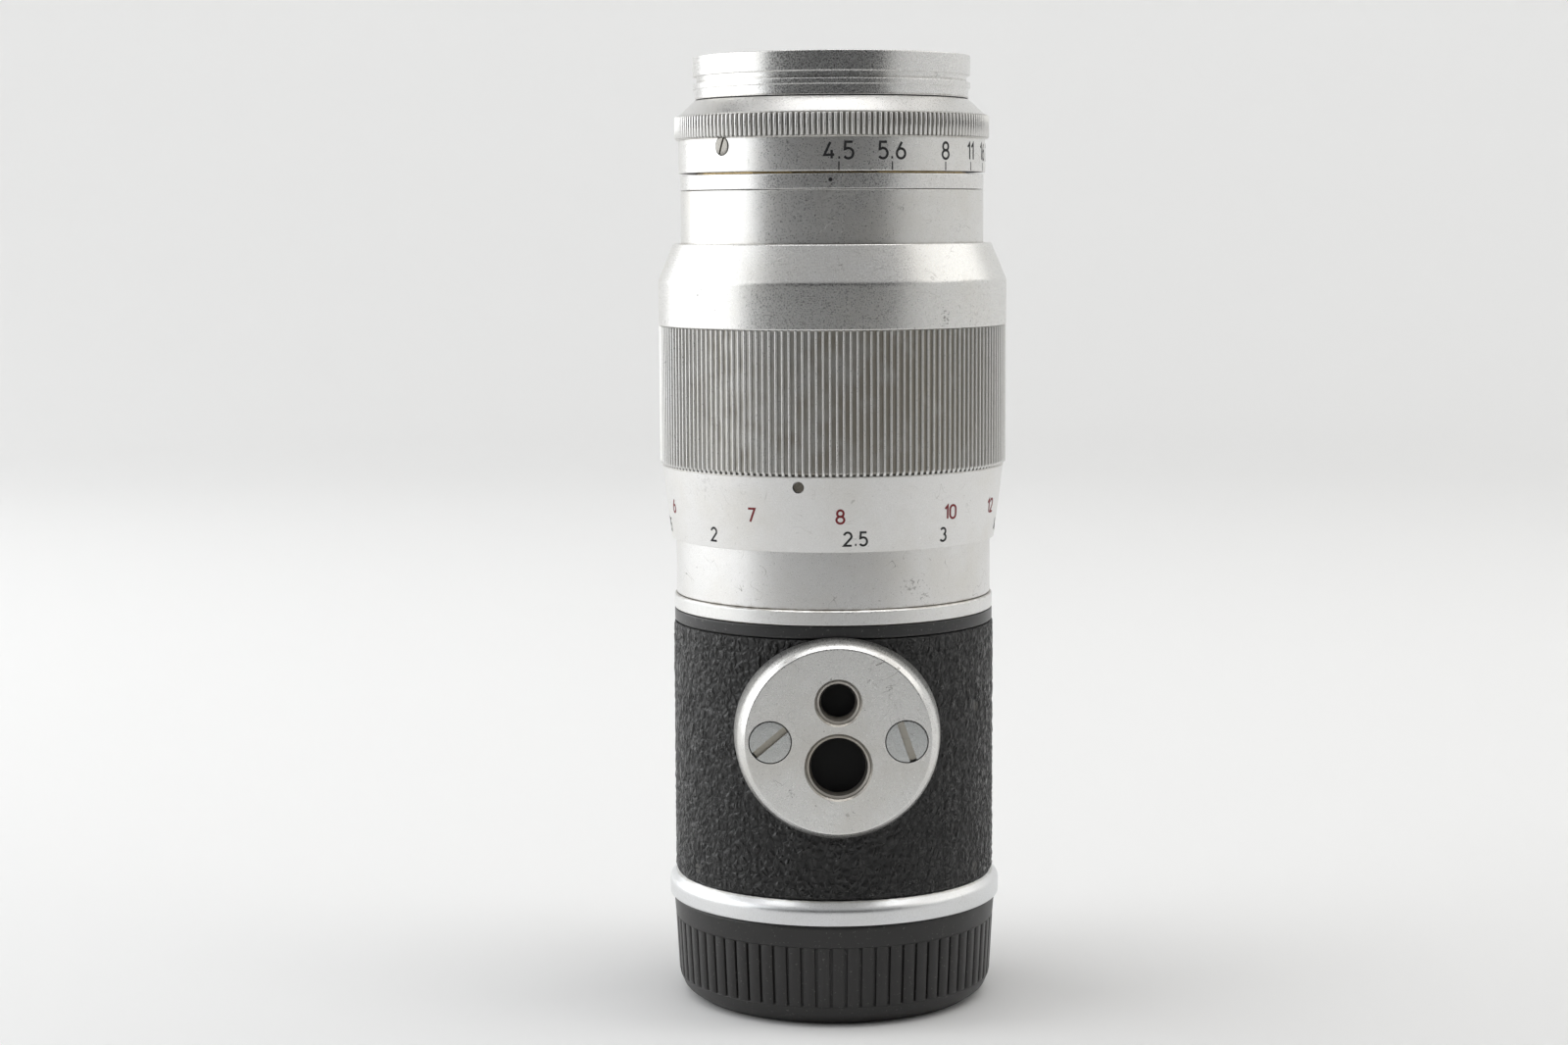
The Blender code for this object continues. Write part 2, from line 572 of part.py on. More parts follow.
front_rim = turned("front_rim", [
    (RIM_RADIUS, rim_top), (RIM_RADIUS, rim_groove_top), (RIM_GROOVE_RADIUS, rim_groove_top),
    (RIM_GROOVE_RADIUS, rim_lower_land_top), (RIM_RADIUS, rim_lower_land_top), (RIM_RADIUS, rim_neck_top),
    (RIM_NECK_RADIUS, rim_neck_top), (RIM_NECK_RADIUS, rim_foot), (cell_radius + SEAT_GAP, rim_foot),
    (cell_radius + SEAT_GAP, rim_foot + FRONT_CELL_RISE + SEAT_GAP),
    (FILTER_THREAD_RADIUS, rim_foot + FRONT_CELL_RISE + SEAT_GAP), (FILTER_THREAD_RADIUS, rim_top)],
    satin_chrome)

# ---------------------------------------------------------------- optics in their cells
front_bore = cell_radius - CELL_WALL
front_cell_top = rim_foot + FRONT_CELL_RISE
front_cell = cell("front_cell", front_bore, front_cell_foot, front_cell_top)
front_glass_foot = front_cell_foot + CELL_LIP + SEAT_GAP
front_element = glass("front_element", front_bore - SEAT_GAP, front_glass_foot, FRONT_GLASS_EDGE,
                      FRONT_GLASS_CROWN, FRONT_GLASS_BACK_CROWN)
front_glass_top = front_glass_foot + FRONT_GLASS_EDGE
front_retaining_ring = ring("front_retaining_ring", front_bore - SEAT_GAP, front_bore - SEAT_GAP - RETAINER_WALL,
                            front_glass_top + SEAT_GAP, front_glass_top + SEAT_GAP + RETAINER_HEIGHT,
                            black_aluminium, INNER_FACETS)

middle_cell = cell("middle_cell", MIDDLE_CELL_BORE, middle_cell_foot, middle_cell_top)
doublet_radius = MIDDLE_CELL_BORE - SEAT_GAP
doublet_rear_foot = middle_cell_foot + CELL_LIP + SEAT_GAP
doublet_rear_element = glass("doublet_rear_element", doublet_radius, doublet_rear_foot, DOUBLET_REAR_EDGE,
                             *DOUBLET_REAR_CROWNS)
doublet_front_element = glass("doublet_front_element", doublet_radius,
                              doublet_rear_foot + DOUBLET_REAR_EDGE + SEAT_GAP, DOUBLET_FRONT_EDGE,
                              *DOUBLET_FRONT_CROWNS)

rear_bore = MIDDLE_CELL_BORE
rear_cell = cell("rear_cell", rear_bore, rear_cell_top - REAR_CELL_HEIGHT, rear_cell_top)
rear_glass_foot = rear_cell_top - REAR_CELL_HEIGHT + CELL_LIP + SEAT_GAP
rear_element = glass("rear_element", rear_bore - SEAT_GAP, rear_glass_foot, REAR_GLASS_EDGE,
                     *REAR_GLASS_CROWNS)
rear_ring_foot = rear_glass_foot + REAR_GLASS_EDGE + SEAT_GAP
rear_retaining_ring = ring("rear_retaining_ring", rear_bore - SEAT_GAP, rear_bore - SEAT_GAP - RETAINER_WALL,
                           rear_ring_foot, rear_ring_foot + RETAINER_HEIGHT, black_aluminium, INNER_FACETS)

# ---------------------------------------------------------------- iris
iris_skirt_bore = cell_radius - IRIS_SKIRT_WALL
iris_housing = turned("iris_housing", [
    (cell_radius, iris_top), (cell_radius, iris_skirt_foot), (iris_skirt_bore, iris_skirt_foot),
    (iris_skirt_bore, iris_top - IRIS_PLATE_HEIGHT), (IRIS_BORE_RADIUS, iris_top - IRIS_PLATE_HEIGHT),
    (IRIS_BORE_RADIUS, iris_top)], black_aluminium, INNER_FACETS)
iris_cam_ring = ring("iris_cam_ring", iris_skirt_bore - RUNNING_GAP, IRIS_BORE_RADIUS, iris_cam_foot,
                     iris_cam_top, brass, INNER_FACETS)
iris_retaining_ring = ring("iris_retaining_ring", cell_radius, IRIS_BORE_RADIUS + 1.0,
                           iris_skirt_foot - SEAT_GAP - IRIS_RETAINER_HEIGHT, iris_skirt_foot - SEAT_GAP,
                           black_aluminium, INNER_FACETS)


def blade_outline():
    """A crescent that starts at the pivot and runs clockwise round the opening, with rounded ends."""
    middle = (BLADE_INNER_RADIUS + BLADE_OUTER_RADIUS) / 2
    half_width = (BLADE_OUTER_RADIUS - BLADE_INNER_RADIUS) / 2
    points = []
    steps = 6
    for index in range(steps + 1):
        angle = radians(-BLADE_SPAN * index / steps)
        points.append((BLADE_OUTER_RADIUS * cos(angle), BLADE_OUTER_RADIUS * sin(angle)))
    end = radians(-BLADE_SPAN)
    points.append(((middle * cos(end) + half_width * sin(end)), (middle * sin(end) - half_width * cos(end))))
    for index in range(steps + 1):
        angle = radians(-BLADE_SPAN * (steps - index) / steps)
        points.append((BLADE_INNER_RADIUS * cos(angle), BLADE_INNER_RADIUS * sin(angle)))
    ear = PIVOT_CIRCLE_RADIUS - BLADE_INNER_RADIUS
    points.append((PIVOT_CIRCLE_RADIUS - ear * 0.4, ear * 0.3))
    points.append((PIVOT_CIRCLE_RADIUS, 0.8))
    points.append((PIVOT_CIRCLE_RADIUS + 0.6, 0.4))
    points.append((PIVOT_CIRCLE_RADIUS + 0.6, -0.4))
    points.append((PIVOT_CIRCLE_RADIUS, -0.8))
    return points


for number in range(BLADE_COUNT):
    level = blade_room_top - (number + 1) * BLADE_PITCH
    mesh = bpy.data.meshes.new("iris_blade")
    bm = bmesh.new()
    rim = [bm.verts.new(((x - PIVOT_CIRCLE_RADIUS) * MM, y * MM, 0)) for x, y in blade_outline()]
    plate = bm.faces.new(rim)
    lifted = bmesh.ops.extrude_face_region(bm, geom=[plate])
    raised = [item for item in lifted["geom"] if isinstance(item, bmesh.types.BMVert)]
    bmesh.ops.translate(bm, vec=(0, 0, BLADE_THICKNESS * MM), verts=raised)
    bmesh.ops.recalc_face_normals(bm, faces=bm.faces)
    bm.to_mesh(mesh)
    bm.free()
    blade = add_object(f"iris_blade_{number + 1:02d}", mesh, blued_steel)
    pin_height = iris_top - IRIS_PLATE_HEIGHT / 2 - level
    pin = turned(blade.name + "_pin", [(0, pin_height), (PIVOT_PIN_RADIUS, pin_height),
                                       (PIVOT_PIN_RADIUS, BLADE_THICKNESS / 2), (0, BLADE_THICKNESS / 2)],
                 None, 8)
    pin.parent = blade
    combine(blade, pin, "UNION")
    place = radians(360 * (number + 0.5) / BLADE_COUNT)
    blade.rotation_euler = (0, 0, place)
    blade.location = Vector((PIVOT_CIRCLE_RADIUS * cos(place), PIVOT_CIRCLE_RADIUS * sin(place), level)) * MM
    hole = turned(blade.name + "_hole", [(0, iris_top + 1), (PIVOT_HOLE_RADIUS, iris_top + 1),
                                         (PIVOT_HOLE_RADIUS, iris_top - IRIS_PLATE_HEIGHT - 1),
                                         (0, iris_top - IRIS_PLATE_HEIGHT - 1)], None, 7)
    hole.rotation_euler = (0, 0, place + pi / 7)
    hole.location = Vector((PIVOT_CIRCLE_RADIUS * cos(place), PIVOT_CIRCLE_RADIUS * sin(place), 0)) * MM
    cut(iris_housing, hole)

# ---------------------------------------------------------------- aperture ring and its drive
sleeve_top = aperture_scale_top
aperture_ring = turned("aperture_ring", [
    (RIM_NECK_RADIUS, aperture_top), (APERTURE_SCALE_RADIUS, aperture_knurl_top),
    (APERTURE_KNURL_RADIUS, aperture_knurl_top), (APERTURE_KNURL_RADIUS, aperture_scale_top),
    (APERTURE_SCALE_RADIUS, aperture_scale_top), (APERTURE_SCALE_RADIUS, aperture_foot),
    (aperture_sleeve_radius + SEAT_GAP, aperture_foot), (aperture_sleeve_radius + SEAT_GAP, sleeve_top + SEAT_GAP),
    (HEAD_TUBE_RADIUS + RUNNING_GAP, sleeve_top + SEAT_GAP), (HEAD_TUBE_RADIUS + RUNNING_GAP, aperture_top)],
    satin_chrome)
aperture_sleeve = ring("aperture_sleeve", aperture_sleeve_radius, HEAD_TUBE_RADIUS + RUNNING_GAP,
                       barrel_floor_foot + BARREL_FLOOR_HEIGHT + SEAT_GAP, sleeve_top, brass, INNER_FACETS)

pin_reach = aperture_sleeve_radius
pin_length = aperture_sleeve_radius - (iris_skirt_bore - RUNNING_GAP) + 1.2
aperture_drive_pin = turned("aperture_drive_pin", [
    (0, 0), (DRIVE_PIN_RADIUS, 0), (DRIVE_PIN_RADIUS, -pin_length), (0, -pin_length)], dark_steel, SCREW_FACETS)
aim_outwards(aperture_drive_pin, DRIVE_PIN_AZIMUTH, drive_pin_height, pin_reach)
pin_hole = turned("drive_pin_hole", [
    (0, 3), (DRIVE_PIN_RADIUS + HOLE_CLEARANCE, 3), (DRIVE_PIN_RADIUS + HOLE_CLEARANCE, -pin_length - 0.4),
    (0, -pin_length - 0.4)], None, SCREW_FACETS)
aim_outwards(pin_hole, DRIVE_PIN_AZIMUTH, drive_pin_height, pin_reach)
cut(aperture_sleeve, pin_hole)
cut(iris_cam_ring, pin_hole)
slot_half_height = DRIVE_PIN_RADIUS + HOLE_CLEARANCE
slot_outline = [(iris_skirt_bore - 0.6, 0, drive_pin_height - slot_half_height),
                (HEAD_TUBE_RADIUS + 0.5, 0, drive_pin_height - slot_half_height),
                (HEAD_TUBE_RADIUS + 0.5, 0, drive_pin_height + slot_half_height),
                (iris_skirt_bore - 0.6, 0, drive_pin_height + slot_half_height)]
drive_slot = swept("drive_slot", slot_outline, APERTURE_TURN + 2 * DRIVE_SLOT_SPARE, 0, 12)
drive_slot.matrix_world = turn_to(DRIVE_PIN_AZIMUTH - 90 - APERTURE_TURN - DRIVE_SLOT_SPARE)
cut(head_tube, drive_slot)
cut(iris_housing, drive_slot)

aperture_stop_screw = slotted_screw("aperture_stop_screw", STOP_SCREW_RADIUS, STOP_SCREW_HEAD_HEIGHT,
                                    STOP_SCREW_RADIUS * 0.6, STOP_SCREW_LENGTH + STOP_SCREW_STANDS_OUT,
                                    STOP_SCREW_SLOT_ANGLE, dark_steel)
stop_screw_height = aperture_scale_top - STOP_SCREW_DROP
aim_outwards(aperture_stop_screw, STOP_SCREW_AZIMUTH, stop_screw_height,
             APERTURE_SCALE_RADIUS + STOP_SCREW_STANDS_OUT)
stop_screw_hole = screw_hole("stop_screw_hole", STOP_SCREW_RADIUS, STOP_SCREW_HEAD_HEIGHT,
                             STOP_SCREW_RADIUS * 0.6, STOP_SCREW_HOLE_DEPTH)
aim_outwards(stop_screw_hole, STOP_SCREW_AZIMUTH, stop_screw_height, APERTURE_SCALE_RADIUS)
cut(aperture_ring, stop_screw_hole)

# ---------------------------------------------------------------- guide key that keeps the head from turning
key_slot = block("key_slot", (KEY_WIDTH + 2 * HOLE_CLEARANCE, 6.0,
                              key_foot + KEY_LENGTH + SEAT_GAP + HELICOID_TRAVEL - head_foot),
                 (0, 0, 0))
key_slot.matrix_world = turn_to(KEY_AZIMUTH) @ Matrix.Translation(Vector((
    0, -HEAD_TUBE_RADIUS * MM, (head_foot - 1 + key_foot + KEY_LENGTH + SEAT_GAP) / 2 * MM)))
cut(head_tube, key_slot)
key_inner = HEAD_TUBE_RADIUS - KEY_BITE
key_outer = mount_tube_bore - SEAT_GAP
guide_key = block("guide_key", (KEY_WIDTH, key_outer - key_inner, KEY_LENGTH), (0, 0, 0), dark_steel)
guide_key.matrix_world = turn_to(KEY_AZIMUTH) @ Matrix.Translation(Vector((
    0, -(key_inner + key_outer) / 2 * MM, (key_foot + KEY_LENGTH / 2) * MM)))
key_screw_height = key_foot + KEY_LENGTH * 0.6
guide_key_screw = slotted_screw("guide_key_screw", SMALL_SCREW_HEAD_RADIUS, SMALL_SCREW_HEAD_HEIGHT,
                                SMALL_SCREW_SHANK_RADIUS, KEY_SCREW_LENGTH, KEY_SCREW_SLOT_ANGLE, dark_steel)
aim_outwards(guide_key_screw, KEY_AZIMUTH, key_screw_height, mount_tube_radius)
key_screw_hole = screw_hole("key_screw_hole", SMALL_SCREW_HEAD_RADIUS, SMALL_SCREW_HEAD_HEIGHT,
                            SMALL_SCREW_SHANK_RADIUS, KEY_SCREW_LENGTH + 3.0)
aim_outwards(key_screw_hole, KEY_AZIMUTH, key_screw_height, mount_tube_radius)
cut(mount_tube, key_screw_hole)
cut(guide_key, key_screw_hole)

# ---------------------------------------------------------------- screws of the flange, the scale and the tube
flange_screw_circle = mount_tube_radius - MOUNT_TUBE_FOOT_WALL / 2
for number in range(FLANGE_SCREW_COUNT):
    azimuth = 360 / FLANGE_SCREW_COUNT * (number + 0.25)
    place = turn_to(azimuth) @ Matrix.Translation(Vector((0, -flange_screw_circle * MM, flange_face * MM)))
    upside_down = Matrix.Rotation(pi, 4, "X")
    screw = slotted_screw(f"flange_screw_{number + 1}", SMALL_SCREW_HEAD_RADIUS, SMALL_SCREW_HEAD_HEIGHT,
                          SMALL_SCREW_SHANK_RADIUS, FLANGE_SCREW_LENGTH, 35 * number, dark_steel)
    screw.matrix_world = place @ upside_down
    hole = screw_hole(screw.name + "_hole", SMALL_SCREW_HEAD_RADIUS, SMALL_SCREW_HEAD_HEIGHT,
                      SMALL_SCREW_SHANK_RADIUS, FLANGE_SCREW_LENGTH + SEAT_GAP)
    hole.matrix_world = place @ upside_down
    cut(bayonet_flange, hole)
    cut(mount_tube, hole)

grub_height = skirt_top - GRUB_SCREW_DROP
skirt_slope = (SKIRT_TOP_RADIUS - SKIRT_EDGE_RADIUS) / SCALE_SKIRT_HEIGHT
grub_reach = SKIRT_TOP_RADIUS - GRUB_SCREW_DROP * skirt_slope - 0.15
grub_length = grub_reach - spigot_outer - SEAT_GAP
for number in range(GRUB_SCREW_COUNT):
    azimuth = GRUB_SCREW_AZIMUTH + 360 / GRUB_SCREW_COUNT * number
    grub = turned(f"grub_screw_{number + 1}", [
        (0, 0), (GRUB_SCREW_RADIUS, 0), (GRUB_SCREW_RADIUS, -grub_length), (0, -grub_length)], dark_steel,
        SCREW_FACETS)
    aim_outwards(grub, azimuth, grub_height, grub_reach)
    hole = turned(grub.name + "_hole", [
        (0, 2), (GRUB_SCREW_RADIUS + HOLE_CLEARANCE, 2), (GRUB_SCREW_RADIUS + HOLE_CLEARANCE, -grub_length - 1),
        (0, -grub_length - 1)], None, SCREW_FACETS)
    aim_outwards(hole, azimuth, grub_height, grub_reach)
    cut(distance_scale_ring, hole)

for number, (azimuth, rise) in enumerate(BODY_SCREWS):
    length = LEATHER_THICKNESS + SEAT_GAP + MOUNT_TUBE_WALL * 0.8
    screw = turned(f"body_screw_{number + 1}", [
        (0, 0), (GRUB_SCREW_RADIUS, 0), (GRUB_SCREW_RADIUS, -length), (0, -length)], dark_steel, SCREW_FACETS)
    aim_outwards(screw, azimuth, tube_foot + rise, LEATHER_RADIUS - 0.15)
    hole = turned(screw.name + "_hole", [
        (0, 2), (GRUB_SCREW_RADIUS + HOLE_CLEARANCE, 2), (GRUB_SCREW_RADIUS + HOLE_CLEARANCE, -length - 1.5),
        (0, -length - 1.5)], None, SCREW_FACETS)
    aim_outwards(hole, azimuth, tube_foot + rise, LEATHER_RADIUS - 0.15)
    cut(leather_cover, hole)
    cut(mount_tube, hole)

bead_profile = [(0, BEAD_RADIUS * 0.5)] + [
    (BEAD_RADIUS * sin(radians(angle)), BEAD_RADIUS * 0.5 * cos(radians(angle))) for angle in (30, 60, 90)
] + [(BEAD_RADIUS, -1.2), (0, -1.2)]
alignment_bead = turned("alignment_bead", bead_profile, red_enamel, 12)
aim_outwards(alignment_bead, BEAD_AZIMUTH, tube_foot + BEAD_HEIGHT, LEATHER_RADIUS)
bead_hole = turned("bead_hole", [(0, 2), (BEAD_RADIUS + HOLE_CLEARANCE, 2), (BEAD_RADIUS + HOLE_CLEARANCE, -1.5),
                                 (0, -1.5)], None, 12)
aim_outwards(bead_hole, BEAD_AZIMUTH, tube_foot + BEAD_HEIGHT, LEATHER_RADIUS)
cut(leather_cover, bead_hole)
cut(mount_tube, bead_hole)

# ---------------------------------------------------------------- tripod boss on the leatherette
boss_depth = BOSS_FACE_REACH - sqrt(LEATHER_RADIUS ** 2 - BOSS_RADIUS ** 2) + 1.0
tripod_boss = turned("tripod_boss", [
    (0, 0), (BOSS_FACE_RADIUS - BOSS_EDGE, 0), (BOSS_FACE_RADIUS, -BOSS_EDGE), (BOSS_RADIUS, -BOSS_SIDE_DEPTH),
    (BOSS_RADIUS, -boss_depth), (0, -boss_depth)], satin_chrome)
aim_outwards(tripod_boss, 0, BOSS_CENTRE_HEIGHT, BOSS_FACE_REACH)
saddle_radius = LEATHER_RADIUS + SEAT_GAP
saddle = turned("boss_saddle", [(0, skirt_foot), (saddle_radius, skirt_foot), (saddle_radius, tube_foot - 3),
                                (0, tube_foot - 3)], None, OUTER_FACETS)
cut(tripod_boss, saddle)


def socket(name, radius, offset):
    """A tripod socket with a countersunk mouth, made along +Z from the boss face."""
    mouth = radius + SOCKET_CHAMFER
    cutter = turned(name, [(0, 1), (mouth, 1), (mouth, 0), (radius, -SOCKET_CHAMFER * 0.6),
                           (radius, -SOCKET_DEPTH), (0, -SOCKET_DEPTH)], None, 2 * SCREW_FACETS)
    aim_outwards(cutter, 0, BOSS_CENTRE_HEIGHT + offset, BOSS_FACE_REACH)
    for piece in (tripod_boss, leather_cover, mount_tube):
        cut(piece, cutter)


socket("small_socket", SMALL_SOCKET_RADIUS, SMALL_SOCKET_OFFSET)
socket("large_socket", LARGE_SOCKET_RADIUS, LARGE_SOCKET_OFFSET)

for name, side, slot_angle in (("boss_screw_left", -1, BOSS_SCREW_SLOT_ANGLES[0]),
                               ("boss_screw_right", 1, BOSS_SCREW_SLOT_ANGLES[1])):
    across = Matrix.Translation(Vector((side * BOSS_SCREW_SPACING * MM, 0, 0)))
    screw = slotted_screw(name, BOSS_SCREW_HEAD_RADIUS, BOSS_SCREW_HEAD_HEIGHT, BOSS_SCREW_SHANK_RADIUS,
                          BOSS_SCREW_LENGTH, slot_angle, satin_chrome)
    aim_outwards(screw, 0, BOSS_CENTRE_HEIGHT, BOSS_FACE_REACH)
    screw.matrix_world = across @ screw.matrix_world
    hole = screw_hole(name + "_hole", BOSS_SCREW_HEAD_RADIUS, BOSS_SCREW_HEAD_HEIGHT, BOSS_SCREW_SHANK_RADIUS,
                      BOSS_SCREW_HOLE_DEPTH)
    aim_outwards(hole, 0, BOSS_CENTRE_HEIGHT, BOSS_FACE_REACH)
    hole.matrix_world = across @ hole.matrix_world
    for piece in (tripod_boss, leather_cover, mount_tube):
        cut(piece, hole)
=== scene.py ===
"""A chromed long-focus prime lens standing on its rear cap: finishes, engraving and fine surface detail.

Each section below is one piece, in the order in which the lens goes together. Sizes are in millimetres.
"""
from math import atan2, cos, hypot, pi, radians, sin, sqrt

import bmesh
import bpy
from mathutils import Matrix, Vector, noise


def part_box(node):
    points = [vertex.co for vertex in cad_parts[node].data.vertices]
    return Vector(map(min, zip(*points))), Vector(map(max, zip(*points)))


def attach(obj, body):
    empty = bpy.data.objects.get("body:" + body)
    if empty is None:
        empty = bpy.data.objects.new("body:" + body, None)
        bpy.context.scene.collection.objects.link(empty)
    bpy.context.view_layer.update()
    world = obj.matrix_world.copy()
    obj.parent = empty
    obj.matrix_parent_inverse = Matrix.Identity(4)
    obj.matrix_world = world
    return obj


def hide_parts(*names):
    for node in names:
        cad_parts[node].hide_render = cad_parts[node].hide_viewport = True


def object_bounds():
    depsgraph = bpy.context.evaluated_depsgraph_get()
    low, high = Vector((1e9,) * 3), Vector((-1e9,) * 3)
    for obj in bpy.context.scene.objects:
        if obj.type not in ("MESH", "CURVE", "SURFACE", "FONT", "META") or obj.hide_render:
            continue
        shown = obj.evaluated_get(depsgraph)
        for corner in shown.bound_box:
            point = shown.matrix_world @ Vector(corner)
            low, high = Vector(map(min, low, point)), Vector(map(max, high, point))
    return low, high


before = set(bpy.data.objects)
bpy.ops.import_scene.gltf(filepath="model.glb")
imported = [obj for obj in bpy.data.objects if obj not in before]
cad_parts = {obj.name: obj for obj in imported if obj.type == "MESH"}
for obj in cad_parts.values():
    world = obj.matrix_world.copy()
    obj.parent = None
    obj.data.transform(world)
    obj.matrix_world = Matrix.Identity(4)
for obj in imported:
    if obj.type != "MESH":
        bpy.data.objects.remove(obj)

MM = 0.001
cad_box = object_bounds()

# ============================================================ studio
# A white sweep of paper: a floor that curves up into a wall behind and beside the lens and stays low in
# front, where the room is darker. A cool soft box stands on the left and a weaker warm one on the right, and
# three more light the wall, the front and the top.
SWEEP_RADIUS = 0.95
SWEEP_CURVE = 0.3
SWEEP_HEIGHT = 1.3
SWEEP_SPOKES = 96
SWEEP_BENDS = 8
FLAT_LEFT, FLAT_RIGHT = radians(62), radians(38)
LIFT_SPAN = radians(30)


def paint(name, color, roughness, metallic=0.0):
    """Start a material and return it with its node tree and its Principled shader."""
    material = bpy.data.materials.new(name)
    material.use_nodes = True
    tree = material.node_tree
    shader = tree.nodes["Principled BSDF"]
    shader.inputs["Base Color"].default_value = (*color, 1.0)
    shader.inputs["Roughness"].default_value = roughness
    shader.inputs["Metallic"].default_value = metallic
    return material, tree, shader


def add_node(tree, kind, links=(), **settings):
    """Add a node. A setting is a node property, or with a leading i_ the value of one of its inputs."""
    made = tree.nodes.new(kind)
    for key, value in settings.items():
        if key.startswith("i_"):
            name = key[2:]
            made.inputs[int(name) if name.isdigit() else name.replace("_", " ")].default_value = value
        else:
            setattr(made, key, value)
    for socket, source in links:
        tree.links.new(source, made.inputs[socket])
    return made


paper, paper_tree, paper_shader = paint("paper_sweep", (0.86, 0.86, 0.855), 0.75)
paper_shader.inputs["Specular IOR Level"].default_value = 0.15
paper_fibre = add_node(paper_tree, "ShaderNodeTexNoise", i_Scale=900.0, i_Detail=3.0)
paper_bump = add_node(paper_tree, "ShaderNodeBump", [("Height", paper_fibre.outputs[0])],
                      i_Strength=0.03, i_Distance=0.0002)
paper_tree.links.new(paper_bump.outputs[0], paper_shader.inputs["Normal"])

sweep_mesh = bpy.data.meshes.new("sweep")
sweep_bm = bmesh.new()
sweep_rows = []
for spoke in range(SWEEP_SPOKES):
    azimuth = 2 * pi * spoke / SWEEP_SPOKES
    side = ((azimuth + pi) % (2 * pi)) - pi
    away = min(1.0, max(0.0, (abs(side) - (FLAT_LEFT if side < 0 else FLAT_RIGHT)) / LIFT_SPAN))
    lift = away * away * (3 - 2 * away)
    row = []
    for reach in (0.0, 0.1, 0.25, 0.5, 0.75, 0.95):
        row.append((SWEEP_RADIUS * reach, 0.0))
    for step in range(1, SWEEP_BENDS + 1):
        bend = pi / 2 * step / SWEEP_BENDS
        row.append((SWEEP_RADIUS + SWEEP_CURVE * sin(bend), SWEEP_CURVE * (1 - cos(bend)) * lift))
    row.append((SWEEP_RADIUS + SWEEP_CURVE, SWEEP_CURVE * lift + (SWEEP_HEIGHT - SWEEP_CURVE) * lift + 0.001))
    sweep_rows.append([sweep_bm.verts.new((r * sin(azimuth), -r * cos(azimuth), z)) for r, z in row])
for spoke in range(SWEEP_SPOKES):
    here, there = sweep_rows[spoke], sweep_rows[(spoke + 1) % SWEEP_SPOKES]
    for step in range(len(here) - 1):
        sweep_bm.faces.new((here[step], here[step + 1], there[step + 1], there[step]))
bmesh.ops.remove_doubles(sweep_bm, verts=sweep_bm.verts, dist=1e-6)
bmesh.ops.dissolve_degenerate(sweep_bm, edges=sweep_bm.edges, dist=1e-6)
bmesh.ops.recalc_face_normals(sweep_bm, faces=sweep_bm.faces)
sweep_bm.to_mesh(sweep_mesh)
sweep_bm.free()
sweep_mesh.shade_smooth()
sweep_mesh.materials.append(paper)
sweep = bpy.data.objects.new("paper_sweep", sweep_mesh)
bpy.context.scene.collection.objects.link(sweep)


def soft_box(name, place, target, size, power, color):
    """A rectangular area light at a point, turned towards a target."""
    light = bpy.data.lights.new(name, "AREA")
    light.shape = "RECTANGLE"
    light.size, light.size_y = size
    light.energy = power
    light.color = color
    lamp = bpy.data.objects.new(name, light)
    lamp.location = place
    lamp.rotation_euler = (Vector(target) - Vector(place)).to_track_quat("-Z", "Y").to_euler()
    lamp.visible_camera = False
    bpy.context.scene.collection.objects.link(lamp)


soft_box("left_soft_box", (-0.80, 0.10, 0.40), (0, 0, 0.10), (1.4, 0.80), 5.7, (0.97, 0.985, 1.0))
soft_box("right_soft_box", (0.85, 0.10, 0.80), (0, 0, 0.05), (1.2, 0.8), 2.6, (1.0, 0.975, 0.93))
soft_box("wall_soft_box", (0.0, -0.10, 1.15), (0, 1.2, 0.30), (1.2, 0.5), 6.0, (1.0, 1.0, 1.0))
soft_box("front_soft_box", (0, -0.75, 0.80), (0, 0, 0.10), (2.2, 0.5), 1.3, (1.0, 1.0, 1.0))
soft_box("top_soft_box", (0, 0.0, 1.30), (0, 0.001, 0), (1.7, 1.4), 4.3, (1.0, 1.0, 1.0))

room = bpy.data.worlds.new("studio_room")
room.use_nodes = True
room.node_tree.nodes["Background"].inputs["Color"].default_value = (0.95, 0.96, 1.0, 1.0)
room.node_tree.nodes["Background"].inputs["Strength"].default_value = 0.05
bpy.context.scene.world = room
bpy.context.scene.view_settings.view_transform = "Standard"

CAMERA_REACH = 0.437
CAMERA_BELOW_RIM = 0.0238
CAMERA_AZIMUTH = radians(-1.45)
CAMERA_YAW, CAMERA_PITCH, CAMERA_ROLL = radians(0.987), radians(6.13), radians(-0.301)
camera_data = bpy.data.cameras.new("camera")
camera_data.lens = 65.54
camera_data.sensor_width = 36.0
camera_data.clip_start = 0.01
camera = bpy.data.objects.new("camera", camera_data)
bpy.context.scene.collection.objects.link(camera)
gaze = Vector((-sin(CAMERA_YAW) * cos(CAMERA_PITCH), cos(CAMERA_YAW) * cos(CAMERA_PITCH), -sin(CAMERA_PITCH)))
level = Vector((cos(CAMERA_YAW), sin(CAMERA_YAW), 0))
upright = level.cross(gaze)
right = level * cos(CAMERA_ROLL) + upright * sin(CAMERA_ROLL)
up = upright * cos(CAMERA_ROLL) - level * sin(CAMERA_ROLL)
facing = Matrix((right, up, -gaze)).transposed().to_4x4()
stand = Matrix.Translation((0, -CAMERA_REACH, cad_box[1].z - CAMERA_BELOW_RIM))
camera.matrix_world = Matrix.Rotation(CAMERA_AZIMUTH, 4, "Z") @ stand @ facing
bpy.context.scene.camera = camera

